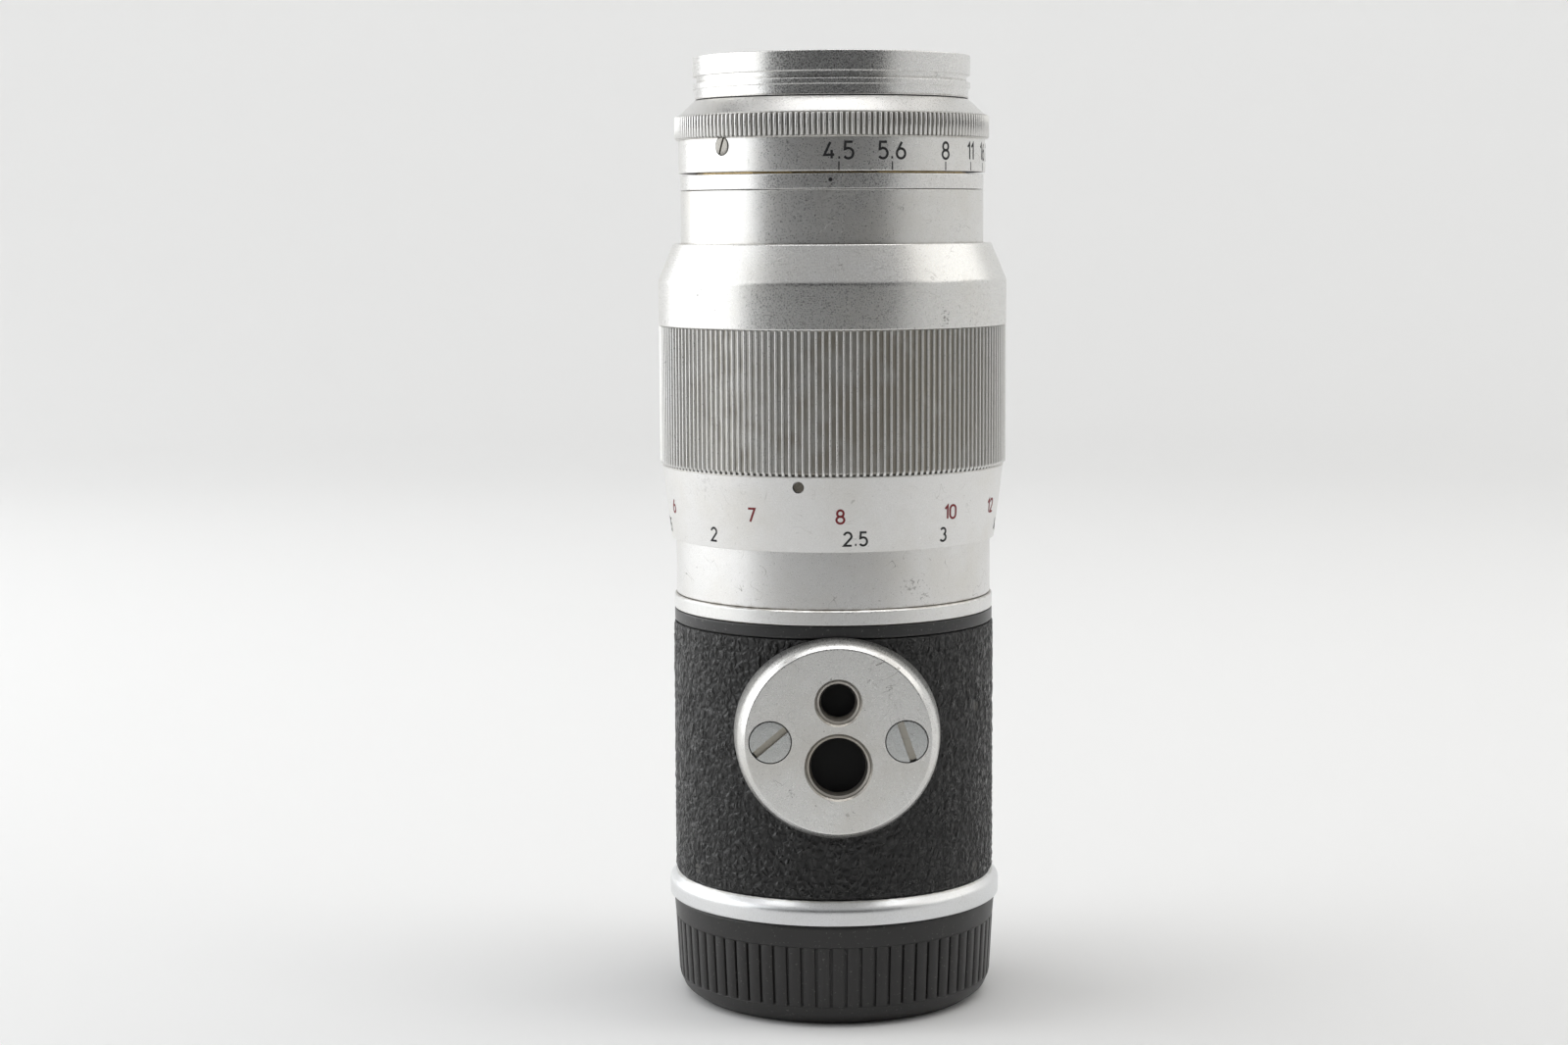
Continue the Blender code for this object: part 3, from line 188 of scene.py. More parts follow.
# ============================================================ rear cap
# Moulded black plastic cap that the lens stands on: a smooth lip, a grip of broad flat lands between narrow
# grooves, and a rounded foot. It turns onto the lens's bayonet with four claws inside.
CAP_LANDS = 70
CAP_GROOVE_WIDTH = 0.42
CAP_GROOVE_DEPTH = 0.45
CAP_LAND_SPAN = (3.5, 11.9)
CAP_GRIP_FOOT, CAP_GRIP_MIDDLE, CAP_GRIP_TOP = 24.15, 24.4, 24.62
CAP_UNDERSIDE, CAP_FLOOR = 0.45, 1.8
LUG_COUNT = 4
LUG_SWEEP = 38.0
FACETS = 240


def eased(points, ease):
    """Round each corner of a closed profile with a short curve that has a supporting point on either side."""
    rounded = []
    for index, corner in enumerate(points):
        before, here, after = (Vector(points[index - 1][:2]), Vector(corner[:2]),
                               Vector(points[(index + 1) % len(points)][:2]))
        own = corner[2] if len(corner) > 2 else ease
        inward, onward = before - here, after - here
        size = min(own, inward.length * 0.3, onward.length * 0.3)
        start = here + inward.normalized() * size
        end = here + onward.normalized() * size
        rounded.append(here + inward.normalized() * size * 1.5)
        for step in range(4):
            share = step / 3
            rounded.append(start * (1 - share) ** 2 + here * 2 * share * (1 - share) + end * share ** 2)
        rounded.append(here + onward.normalized() * size * 1.5)
    return [(point.x, point.y) for point in rounded]


def make_piece(name, verts, faces, material, smooth=True):
    """Make a mesh object whose place is in its mesh."""
    mesh = bpy.data.meshes.new(name)
    mesh.from_pydata(verts, [], faces)
    mesh.validate()
    if smooth:
        mesh.shade_smooth()
    mesh.materials.append(material)
    piece = bpy.data.objects.new(name, mesh)
    bpy.context.scene.collection.objects.link(piece)
    return piece


def lathe(name, profile, material, ease=0.1, facets=FACETS):
    """Turn a closed profile of (radius, height[, ease]) round Z, down the outside and up the inside."""
    outline = eased(profile, ease)
    count = len(outline)
    verts = []
    for step in range(facets):
        turn = 2 * pi * step / facets
        verts += [(r * cos(turn) * MM, r * sin(turn) * MM, z * MM) for r, z in outline]
    faces = []
    for step in range(facets):
        here, there = step * count, (step + 1) % facets * count
        for index in range(count):
            following = (index + 1) % count
            faces.append((here + index, here + following, there + following, there + index))
    return make_piece(name, verts, faces, material)


def dished(name, profile, material, ease=0.1, facets=FACETS):
    """Turn an open profile that starts and ends on the axis, running down the outside."""
    inner = [point for point in profile if point[0] > 0]
    outline = eased([(0.0, profile[0][1])] + inner + [(0.0, profile[-1][1])], ease)[6:-6]
    count = len(outline)
    verts = [(0, 0, profile[0][1] * MM), (0, 0, profile[-1][1] * MM)]
    for step in range(facets):
        turn = 2 * pi * step / facets
        verts += [(r * cos(turn) * MM, r * sin(turn) * MM, z * MM) for r, z in outline]
    faces = []
    for step in range(facets):
        here, there = 2 + step * count, 2 + (step + 1) % facets * count
        faces.append((0, here, there))
        faces.append((1, there + count - 1, here + count - 1))
        for index in range(count - 1):
            faces.append((here + index, here + index + 1, there + index + 1, there + index))
    return make_piece(name, verts, faces, material)


def rib_mesh(name, stations, base_radius, base_width, top_width, ease):
    """One upright rib at azimuth 0, with rounded edges. stations are (height, top radius)."""
    verts = []
    for height, top_radius in stations:
        section = ((-base_width / 2, base_radius), (-top_width / 2, top_radius - ease),
                   (-top_width / 2 + ease * 0.9, top_radius - ease * 0.12), (0.0, top_radius),
                   (top_width / 2 - ease * 0.9, top_radius - ease * 0.12),
                   (top_width / 2, top_radius - ease), (base_width / 2, base_radius))
        for width, radius in section:
            turn = width / radius
            verts.append((radius * sin(turn) * MM, -radius * cos(turn) * MM, height * MM))
    count = 7
    faces = [tuple(range(count)), tuple(range(len(verts) - 1, len(verts) - 1 - count, -1))]
    for level in range(len(stations) - 1):
        for index in range(count):
            following = (index + 1) % count
            low, high = level * count, (level + 1) * count
            faces.append((low + index, high + index, high + following, low + following))
    mesh = bpy.data.meshes.new(name)
    mesh.from_pydata(verts, [], faces)
    rib = bmesh.new()
    rib.from_mesh(mesh)
    bmesh.ops.recalc_face_normals(rib, faces=rib.faces)
    rib.to_mesh(mesh)
    rib.free()
    mesh.shade_smooth()
    mesh.set_sharp_from_angle(angle=radians(50))
    rib_object = bpy.data.objects.new(name, mesh)
    bpy.context.scene.collection.objects.link(rib_object)
    return rib_object


def build_ring_tree():
    """Geometry Nodes tree that repeats one piece round the optical axis."""
    tree = bpy.data.node_groups.new("repeat_round_axis", "GeometryNodeTree")
    for name, kind in (("Piece", "NodeSocketObject"), ("Count", "NodeSocketInt"),
                       ("Start Angle", "NodeSocketFloat"), ("Step Angle", "NodeSocketFloat"),
                       ("Finish", "NodeSocketMaterial")):
        tree.interface.new_socket(name, in_out="INPUT", socket_type=kind)
    tree.interface.new_socket("Geometry", in_out="OUTPUT", socket_type="NodeSocketGeometry")
    given = tree.nodes.new("NodeGroupInput").outputs
    points = add_node(tree, "GeometryNodePoints", [("Count", given["Count"])])
    number = add_node(tree, "GeometryNodeInputIndex")
    turned = add_node(tree, "ShaderNodeMath", [(0, number.outputs[0]), (1, given["Step Angle"]),
                                               (2, given["Start Angle"])], operation="MULTIPLY_ADD")
    about_axis = add_node(tree, "ShaderNodeCombineXYZ", [("Z", turned.outputs[0])])
    piece = add_node(tree, "GeometryNodeObjectInfo", [("Object", given["Piece"])])
    copies = add_node(tree, "GeometryNodeInstanceOnPoints",
                      [("Points", points.outputs[0]), ("Instance", piece.outputs["Geometry"]),
                       ("Rotation", about_axis.outputs[0])])
    real = add_node(tree, "GeometryNodeRealizeInstances", [("Geometry", copies.outputs[0])])
    finished = add_node(tree, "GeometryNodeSetMaterial", [("Geometry", real.outputs[0]),
                                                          ("Material", given["Finish"])])
    result = tree.nodes.new("NodeGroupOutput")
    tree.links.new(finished.outputs[0], result.inputs[0])
    return tree


ring_tree = build_ring_tree()


def repeat_round(name, pattern, count, material, start=0.0, step=None):
    """Repeat a piece round the axis, in radians from -Y towards +X, and return it as one plain mesh."""
    holder = bpy.data.objects.new(name + "_holder", bpy.data.meshes.new(name + "_holder"))
    bpy.context.scene.collection.objects.link(holder)
    modifier = holder.modifiers.new("repeat", "NODES")
    modifier.node_group = ring_tree
    values = {"Piece": pattern, "Count": count, "Start Angle": start,
              "Step Angle": 2 * pi / count if step is None else step, "Finish": material}
    for item in ring_tree.interface.items_tree:
        if item.name in values:
            modifier[item.identifier] = values[item.name]
    bpy.context.view_layer.update()
    shown = holder.evaluated_get(bpy.context.evaluated_depsgraph_get())
    mesh = bpy.data.meshes.new_from_object(shown)
    mesh.name = name
    bpy.data.objects.remove(holder)
    bpy.data.objects.remove(pattern)
    ring_object = bpy.data.objects.new(name, mesh)
    bpy.context.scene.collection.objects.link(ring_object)
    return ring_object


def join(name, *pieces):
    """Join pieces of one body into one mesh object."""
    joined = bmesh.new()
    slots = []
    for piece in pieces:
        offset = []
        for material in piece.data.materials:
            if material not in slots:
                slots.append(material)
            offset.append(slots.index(material))
        start = len(joined.faces)
        joined.from_mesh(piece.data)
        joined.faces.ensure_lookup_table()
        for face in joined.faces[start:]:
            face.material_index = offset[min(face.material_index, len(offset) - 1)]
        bpy.data.objects.remove(piece)
    mesh = bpy.data.meshes.new(name)
    joined.to_mesh(mesh)
    joined.free()
    for material in slots:
        mesh.materials.append(material)
    whole = bpy.data.objects.new(name, mesh)
    bpy.context.scene.collection.objects.link(whole)
    return whole


def settle(piece, body, slot, *nodes):
    """Give a finished piece its body and hide the CAD nodes that it stands for; the slot argument is not
    used.
    """
    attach(piece, body)
    if nodes:
        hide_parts(*nodes)


def extent(node):
    """Foot, top and outer radius of a turned CAD piece."""
    low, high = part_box(node)
    return low.z / MM, high.z / MM, high.x / MM


def new_group(name, inputs, outputs):
    """Start a shader node group with named sockets: inputs are (name, kind, value)."""
    tree = bpy.data.node_groups.new(name, "ShaderNodeTree")
    for label, kind, value in inputs:
        socket = tree.interface.new_socket(label, in_out="INPUT", socket_type="NodeSocket" + kind)
        socket.default_value = value
    for label, kind in outputs:
        tree.interface.new_socket(label, in_out="OUTPUT", socket_type="NodeSocket" + kind)
    return tree, tree.nodes.new("NodeGroupInput").outputs, tree.nodes.new("NodeGroupOutput").inputs


def place_group(tree, group, **values):
    """Put a node group in a material and set its inputs by name, with _ for a space."""
    made = tree.nodes.new("ShaderNodeGroup")
    made.node_tree = group
    for name, value in values.items():
        made.inputs[name.replace("_", " ")].default_value = value
    return made


def mix_color(tree, factor, first, second):
    """Mix two colours, each a socket or a constant."""
    mix = add_node(tree, "ShaderNodeMix", data_type="RGBA")
    for socket, value in ((0, factor), (6, first), (7, second)):
        if isinstance(value, bpy.types.NodeSocket):
            tree.links.new(value, mix.inputs[socket])
        else:
            mix.inputs[socket].default_value = value
    return mix.outputs[2]


def build_handled_plastic():
    """Moulded surface: a fine bead-blast grain, cloudy gloss and a few pale dust specks."""
    tree, given, result = new_group("handled_surface", (("Color", "Color", (0.02, 0.02, 0.02, 1)),
                                                        ("Roughness", "Float", 0.4),
                                                        ("Grain Scale", "Float", 9000.0),
                                                        ("Dust", "Float", 0.3)),
                                    (("Color", "Color"), ("Roughness", "Float"), ("Height", "Float")))
    spot = add_node(tree, "ShaderNodeTexCoord").outputs["Object"]
    grain = add_node(tree, "ShaderNodeTexNoise", [("Vector", spot), ("Scale", given["Grain Scale"])],
                     i_Detail=2.0)
    cloud = add_node(tree, "ShaderNodeTexNoise", [("Vector", spot)], i_Scale=220.0, i_Detail=4.0)
    gloss = add_node(tree, "ShaderNodeMath", [(0, cloud.outputs[0]), (2, given["Roughness"])],
                     operation="MULTIPLY_ADD", i_1=0.16)
    fleck = add_node(tree, "ShaderNodeTexNoise", [("Vector", spot)], i_Scale=2600.0, i_Detail=1.0)
    picked = add_node(tree, "ShaderNodeMapRange", [(0, fleck.outputs[0])], i_1=0.69, i_2=0.74)
    dust = add_node(tree, "ShaderNodeMath", [(0, picked.outputs[0]), (1, given["Dust"])],
                    operation="MULTIPLY")
    tree.links.new(mix_color(tree, dust.outputs[0], given["Color"], (0.35, 0.34, 0.32, 1)), result["Color"])
    tree.links.new(gloss.outputs[0], result["Roughness"])
    tree.links.new(grain.outputs[0], result["Height"])
    return tree


handled_surface = build_handled_plastic()


def wire_finish(tree, shader, finish, strength, distance=0.00002):
    """Lead a finish group's colour, roughness and height into a shader."""
    tree.links.new(finish.outputs["Color"], shader.inputs["Base Color"])
    tree.links.new(finish.outputs["Roughness"], shader.inputs["Roughness"])
    bump = add_node(tree, "ShaderNodeBump", [("Height", finish.outputs["Height"])],
                    i_Strength=strength, i_Distance=distance)
    tree.links.new(bump.outputs[0], shader.inputs["Normal"])


cap_plastic, cap_tree, cap_shader = paint("moulded_cap_plastic", (0.02, 0.02, 0.02), 0.4)
cap_shader.inputs["Specular IOR Level"].default_value = 0.45
cap_surface = place_group(cap_tree, handled_surface, Color=(0.021, 0.020, 0.0195, 1), Roughness=0.33,
                          Grain_Scale=7000.0, Dust=0.15)
wire_finish(cap_tree, cap_shader, cap_surface, 0.25)


def ring_sector(name, inner, outer, foot, top, sweep, material):
    """A block of a ring centred on azimuth 0, such as a bayonet lug."""
    steps = 12
    verts = []
    for index in range(steps + 1):
        turn = radians(-sweep / 2 + sweep * index / steps)
        for radius, height in ((inner, foot), (outer, foot), (outer, top), (inner, top)):
            verts.append((radius * sin(turn) * MM, -radius * cos(turn) * MM, height * MM))
    faces = [(0, 1, 2, 3), tuple(4 * steps + index for index in (3, 2, 1, 0))]
    for index in range(steps):
        here, there = 4 * index, 4 * (index + 1)
        for corner in range(4):
            following = (corner + 1) % 4
            faces.append((here + corner, there + corner, there + following, here + following))
    return make_piece(name, verts, faces, material, smooth=False)


cap_foot, cap_top, cap_radius = extent("rear_cap")
cap_bore = cap_radius - 2.0
lip_foot = CAP_LAND_SPAN[1] + 0.4
cap_body = dished("cap_body", [
    (0.0, CAP_FLOOR), (cap_bore, CAP_FLOOR), (cap_bore, cap_top, 0.25), (cap_radius, cap_top, 0.5),
    (CAP_GRIP_TOP, lip_foot), (CAP_GRIP_TOP - CAP_GROOVE_DEPTH, CAP_LAND_SPAN[1]),
    (CAP_GRIP_FOOT - CAP_GROOVE_DEPTH, CAP_LAND_SPAN[0]), (24.08, CAP_LAND_SPAN[0] - 0.4, 0.3),
    (23.3, 1.3, 0.9), (21.4, cap_foot, 1.0), (20.2, cap_foot, 0.3),
    (19.8, CAP_UNDERSIDE, 0.2), (0.0, CAP_UNDERSIDE)], cap_plastic)
land_pitch = 2 * pi * CAP_GRIP_MIDDLE / CAP_LANDS
land_stations = [(CAP_LAND_SPAN[0] - 0.35, 24.03), (CAP_LAND_SPAN[0] + 0.1, CAP_GRIP_FOOT), (7.7, 24.38),
                 (CAP_LAND_SPAN[1] + 0.35, CAP_GRIP_TOP)]
cap_land = rib_mesh("cap_land", land_stations, 23.6, land_pitch - CAP_GROOVE_WIDTH * 0.8,
                    land_pitch - CAP_GROOVE_WIDTH, 0.07)
cap_lands = repeat_round("cap_lands", cap_land, CAP_LANDS, cap_plastic)
cap_claw = ring_sector("cap_claw", 20.95, cap_bore + 0.1, 13.5, cap_top - 0.3, LUG_SWEEP, cap_plastic)
cap_claws = repeat_round("cap_claws", cap_claw, LUG_COUNT, cap_plastic)
rear_cap = join("rear_cap_moulding", cap_body, cap_lands, cap_claws)
settle(rear_cap, "rear_cap", "black_plastic", "rear_cap")

# ============================================================ bayonet flange
# Chromed brass flange with a bright bevelled rim, screwed up into the tube from behind with four small
# countersunk screws. Its four lugs hold it in the camera's bayonet, or in the cap.
FLANGE_RADIUS = 25.47
FLANGE_BORE = 19.3
SPIGOT_RADIUS = 20.6
LUG_RADIUS = 21.9
LUG_FOOT, LUG_TOP = 11.5, 13.2


def build_satin_metal():
    """Satin chrome: bead-blasted sparkle, faint lathe rings, warm ageing in clouds and thin hairlines."""
    tree, given, result = new_group("satin_metal", (("Color", "Color", (0.75, 0.74, 0.72, 1)),
                                                    ("Roughness", "Float", 0.3), ("Ageing", "Float", 0.3),
                                                    ("Hairlines", "Float", 0.3),
                                                    ("Grain Scale", "Float", 5200.0)),
                                    (("Color", "Color"), ("Roughness", "Float"), ("Height", "Float")))
    spot = add_node(tree, "ShaderNodeTexCoord").outputs["Object"]
    grain = add_node(tree, "ShaderNodeTexNoise", [("Vector", spot), ("Scale", given["Grain Scale"])],
                     i_Detail=2.5, i_Roughness=0.6)
    squeezed = add_node(tree, "ShaderNodeMapping", [("Vector", spot)], i_Scale=(0.02, 0.02, 1.0))
    rings = add_node(tree, "ShaderNodeTexNoise", [("Vector", squeezed.outputs[0])], i_Scale=5200.0,
                     i_Detail=2.0)
    relief = add_node(tree, "ShaderNodeMath", [(0, rings.outputs[0]), (2, grain.outputs[0])],
                      operation="MULTIPLY_ADD", i_1=0.25)
    cloud = add_node(tree, "ShaderNodeTexNoise", [("Vector", spot)], i_Scale=95.0, i_Detail=5.0,
                     i_Roughness=0.6)
    clouded = add_node(tree, "ShaderNodeMapRange", [(0, cloud.outputs[0])], i_1=0.45, i_2=0.78)
    aged = add_node(tree, "ShaderNodeMath", [(0, clouded.outputs[0]), (1, given["Ageing"])],
                    operation="MULTIPLY")
    warm = add_node(tree, "ShaderNodeMix", [(6, given["Color"])], data_type="RGBA", blend_type="MULTIPLY",
                    i_7=(0.83, 0.79, 0.70, 1))
    tree.links.new(aged.outputs[0], warm.inputs[0])
    wander = add_node(tree, "ShaderNodeTexNoise", [("Vector", spot)], i_Scale=160.0, i_Detail=1.5,
                      i_Distortion=2.2)
    offset = add_node(tree, "ShaderNodeMath", [(0, wander.outputs[0])], operation="SUBTRACT", i_1=0.5)
    distance = add_node(tree, "ShaderNodeMath", [(0, offset.outputs[0])], operation="ABSOLUTE")
    line = add_node(tree, "ShaderNodeMapRange", [(0, distance.outputs[0])], i_1=0.002, i_2=0.007, i_3=1.0,
                    i_4=0.0)
    patches = add_node(tree, "ShaderNodeTexNoise", [("Vector", spot)], i_Scale=210.0)
    chosen = add_node(tree, "ShaderNodeMapRange", [(0, patches.outputs[0])], i_1=0.55, i_2=0.66)
    broken = add_node(tree, "ShaderNodeMath", [(0, line.outputs[0]), (1, chosen.outputs[0])],
                      operation="MULTIPLY")
    hairline = add_node(tree, "ShaderNodeMath", [(0, broken.outputs[0]), (1, given["Hairlines"])],
                        operation="MULTIPLY")
    glint = add_node(tree, "ShaderNodeMapRange", [(0, grain.outputs[0])], i_1=0.34, i_2=0.66, i_3=0.20,
                     i_4=0.0)
    sparkled = mix_color(tree, glint.outputs[0], warm.outputs[2], (0.40, 0.39, 0.37, 1))
    darkened = mix_color(tree, hairline.outputs[0], sparkled, (0.30, 0.29, 0.27, 1))
    tree.links.new(darkened, result["Color"])
    speckle = add_node(tree, "ShaderNodeMapRange", [(0, grain.outputs[0])], i_1=0.3, i_2=0.7, i_3=-0.09,
                       i_4=0.10)
    rougher = add_node(tree, "ShaderNodeMath", [(0, aged.outputs[0]), (2, speckle.outputs[0])],
                       operation="MULTIPLY_ADD", i_1=0.10)
    gloss = add_node(tree, "ShaderNodeMath", [(0, rougher.outputs[0]), (1, given["Roughness"])],
                     operation="ADD")
    tree.links.new(gloss.outputs[0], result["Roughness"])
    cut_in = add_node(tree, "ShaderNodeMath", [(0, hairline.outputs[0]), (1, relief.outputs[0])],
                      operation="SUBTRACT")
    flipped = add_node(tree, "ShaderNodeMath", [(0, cut_in.outputs[0])], operation="MULTIPLY", i_1=-1.0)
    tree.links.new(flipped.outputs[0], result["Height"])
    return tree


satin_metal = build_satin_metal()


def build_scuff():
    """Dark rubbed marks inside a soft ball: where something has knocked the finish."""
    tree, given, result = new_group("scuff_marks",
                                    (("Centre", "Vector", (0, 0, 0)), ("Reach", "Float", 0.003),
                                     ("Scale", "Float", 900.0), ("Amount", "Float", 0.7)),
                                    (("Mask", "Float"),))
    spot = add_node(tree, "ShaderNodeTexCoord").outputs["Object"]
    away = add_node(tree, "ShaderNodeVectorMath", [(0, spot), (1, given["Centre"])], operation="DISTANCE")
    share = add_node(tree, "ShaderNodeMath", [(0, away.outputs["Value"]), (1, given["Reach"])],
                     operation="DIVIDE")
    inside = add_node(tree, "ShaderNodeMapRange", [(0, share.outputs[0])], i_1=0.1, i_2=1.0, i_3=1.0, i_4=0.0)
    rubbed = add_node(tree, "ShaderNodeTexNoise", [("Vector", spot), ("Scale", given["Scale"])],
                      i_Detail=4.0, i_Roughness=0.65, i_Distortion=0.8)
    summed = add_node(tree, "ShaderNodeMath", [(0, inside.outputs[0]), (2, rubbed.outputs[0])],
                      operation="MULTIPLY_ADD", i_1=0.16)
    torn = add_node(tree, "ShaderNodeMapRange", [(0, summed.outputs[0])], i_1=0.665, i_2=0.73)
    kept = add_node(tree, "ShaderNodeMath", [(0, torn.outputs[0]), (1, given["Amount"])],
                    operation="MULTIPLY")
    tree.links.new(kept.outputs[0], result["Mask"])
    return tree


scuff_marks = build_scuff()


def build_seam_grime():
    """Brown dirt that has gathered along a joint at one height."""
    tree, given, result = new_group("seam_grime", (("Height", "Float", 0.0), ("Spread", "Float", 0.0004),
                                                   ("Amount", "Float", 0.6)), (("Mask", "Float"),))
    spot = add_node(tree, "ShaderNodeTexCoord").outputs["Object"]
    parts = add_node(tree, "ShaderNodeSeparateXYZ", [(0, spot)])
    off = add_node(tree, "ShaderNodeMath", [(0, parts.outputs["Z"]), (1, given["Height"])],
                   operation="SUBTRACT")
    gap = add_node(tree, "ShaderNodeMath", [(0, off.outputs[0])], operation="ABSOLUTE")
    share = add_node(tree, "ShaderNodeMath", [(0, gap.outputs[0]), (1, given["Spread"])], operation="DIVIDE")
    ragged = add_node(tree, "ShaderNodeTexNoise", [("Vector", spot)], i_Scale=700.0, i_Detail=4.0)
    raised = add_node(tree, "ShaderNodeMath", [(0, ragged.outputs[0]), (2, share.outputs[0])],
                      operation="MULTIPLY_ADD", i_1=1.2)
    near = add_node(tree, "ShaderNodeMapRange", [(0, raised.outputs[0])], i_1=0.5, i_2=1.4, i_3=1.0, i_4=0.0)
    kept = add_node(tree, "ShaderNodeMath", [(0, near.outputs[0]), (1, given["Amount"])],
                    operation="MULTIPLY")
    tree.links.new(kept.outputs[0], result["Mask"])
    return tree


seam_grime = build_seam_grime()


def on_surface(azimuth, radius, height):
    """A point of a round surface, in metres, azimuth in degrees from -Y towards +X."""
    return (radius * sin(radians(azimuth)) * MM, -radius * cos(radians(azimuth)) * MM, height * MM)


def chrome(name, roughness=0.3, color=(0.76, 0.755, 0.74), ageing=0.35, hairlines=0.35, grain=5200.0,
           strength=0.6, scuffs=(), grimes=(), metallic=1.0):
    """A chromed finish with scuffs (azimuth, radius, height, reach, scale, amount) and grimy seams."""
    material, tree, shader = paint(name, color, roughness, metallic)
    finish = place_group(tree, satin_metal, Color=(*color, 1), Roughness=roughness, Ageing=ageing,
                         Hairlines=hairlines, Grain_Scale=grain)
    wire_finish(tree, shader, finish, strength)
    shade = finish.outputs["Color"]
    for azimuth, radius, height, reach, scale, amount in scuffs:
        mask = place_group(tree, scuff_marks, Centre=on_surface(azimuth, radius, height), Reach=reach * MM,
                           Scale=scale, Amount=amount)
        shade = mix_color(tree, mask.outputs[0], shade, (0.16, 0.15, 0.14, 1))
    for height, spread, amount in grimes:
        mask = place_group(tree, seam_grime, Height=height * MM, Spread=spread * MM, Amount=amount)
        shade = mix_color(tree, mask.outputs[0], shade, (0.22, 0.19, 0.14, 1))
    tree.links.new(shade, shader.inputs["Base Color"])
    return material


flange_top = extent("bayonet_flange")[1]
flange_face = cap_top + 0.3
flange_chrome = chrome("flange_chrome", 0.36, (0.80, 0.81, 0.82), ageing=0.15, hairlines=0.2,
                       grimes=((flange_top, 0.25, 0.5),))
flange_rim = lathe("flange_rim", [
    (24.25, flange_top + 0.2, 0.15), (FLANGE_RADIUS, flange_top - 1.0, 0.55),
    (FLANGE_RADIUS, flange_face - 0.2, 0.2), (SPIGOT_RADIUS, flange_face), (SPIGOT_RADIUS, LUG_TOP),
    (FLANGE_BORE, LUG_FOOT), (FLANGE_BORE, flange_top)], flange_chrome)
lug = ring_sector("flange_lug", SPIGOT_RADIUS - 0.1, LUG_RADIUS, LUG_FOOT, LUG_TOP, LUG_SWEEP, flange_chrome)
flange_lugs = repeat_round("flange_lugs", lug, LUG_COUNT, flange_chrome)
flange = join("bayonet_flange_chrome", flange_rim, flange_lugs)
settle(flange, "mount", "chrome", "bayonet_flange")

# ============================================================ inner tubes and works
# Everything behind the outer shells: the blackened mount tube, the brass helicoid, the guide key, the
# rangefinder cam and the small screws. Their solids have the right shape, so they only get their finishes.
blackened = chrome("blackened_aluminium", 0.5, (0.028, 0.028, 0.029), ageing=0.2, hairlines=0.5, metallic=0.5)
turned_brass = chrome("turned_brass", 0.28, (0.68, 0.50, 0.24), ageing=0.7, hairlines=0.3)
screw_steel = chrome("screw_steel", 0.33, (0.40, 0.38, 0.35), ageing=0.6, hairlines=0.5)
INNER_FINISHES = {
    blackened: ("mount_tube", "focus_helicoid", "head_tube", "middle_cell", "rear_cell",
                "rear_retaining_ring", "iris_housing", "iris_retaining_ring"),
    turned_brass: ("rangefinder_cam", "outer_helicoid", "iris_cam_ring", "aperture_sleeve"),
    screw_steel: ("flange_screw_1", "flange_screw_2", "flange_screw_3", "flange_screw_4", "guide_key",
                  "guide_key_screw", "helicoid_stop_ring", "aperture_drive_pin"),
}
for inner_finish, members in INNER_FINISHES.items():
    for member in members:
        node_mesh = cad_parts[member].data
        node_mesh.materials.clear()
        node_mesh.materials.append(inner_finish)

# ============================================================ leather cover
# Black grained leatherette glued round the tube in one strip, with its butt joint at the back. The grain is
# upright, close-packed wrinkles. The boss is bedded on it, and small round holes show the tube's screws.
leather_foot, leather_top, leather_radius = extent("leather_cover")
LEATHER_COLUMNS = 560
LEATHER_ROWS = 150
GRAIN_WIDTH = 1.25
GRAIN_HEIGHT = 1.75
GRAIN_DEPTH = 0.30
BACKING_DEPTH = 0.33
SCREW_HOLE_RADIUS = 0.8
SCREW_HOLES = ((-59.7, 2.1), (60.1, 2.2), (60.6, 26.7))


def wrinkle(point):
    """Height of the leather grain at a point, from 0 in a crease to 1 on a pebble."""
    squash = GRAIN_WIDTH / GRAIN_HEIGHT
    low = min(1.0, max(0.0, (leather_foot + 13.0 - point[2]) / 9.0))
    bent = Vector((point[0], point[1], point[2] * (squash + (1.35 - squash) * low))) / GRAIN_WIDTH
    bent += noise.noise_vector(bent * 0.55) * 0.5 + noise.noise_vector(bent * 1.9) * 0.22
    gaps = noise.voronoi(bent, distance_metric="DISTANCE")[0]
    pebble = min(1.0, max(0.0, (gaps[1] - gaps[0]) * 2.6))
    pebble = pebble * (2 - pebble)
    fold = noise.noise(bent * 1.3 + Vector((7, 3, 1))) * 0.5 + 0.5
    return min(1.1, pebble * (0.55 + 0.5 * fold) + 0.12 * fold)


leather_verts = []
relief_values = []
for column in range(LEATHER_COLUMNS + 1):
    azimuth = -pi + 2 * pi * column / LEATHER_COLUMNS
    seam = min(column, LEATHER_COLUMNS - column) / 1.5
    for row in range(LEATHER_ROWS + 1):
        height = leather_foot + (leather_top - leather_foot) * row / LEATHER_ROWS
        base = (leather_radius * sin(azimuth), -leather_radius * cos(azimuth), height)
        value = wrinkle(base)
        edge = min(row, LEATHER_ROWS - row) / 2.0
        settled = min(1.0, edge + 0.25) * min(1.0, seam + 0.05)
        for screw_azimuth, screw_rise in SCREW_HOLES:
            across = (azimuth - radians(screw_azimuth)) * leather_radius
            reach = hypot(across, height - leather_foot - screw_rise)
            settled = min(settled, max(-0.12, (reach - SCREW_HOLE_RADIUS) * 3.0))
        radius = leather_radius - GRAIN_DEPTH + GRAIN_DEPTH * (value * settled if settled > 0 else settled)
        leather_verts.append((radius * sin(azimuth) * MM, -radius * cos(azimuth) * MM, height * MM))
        relief_values.append(value * max(settled, 0.0))
backing_start = len(leather_verts)
backing_radius = leather_radius - BACKING_DEPTH
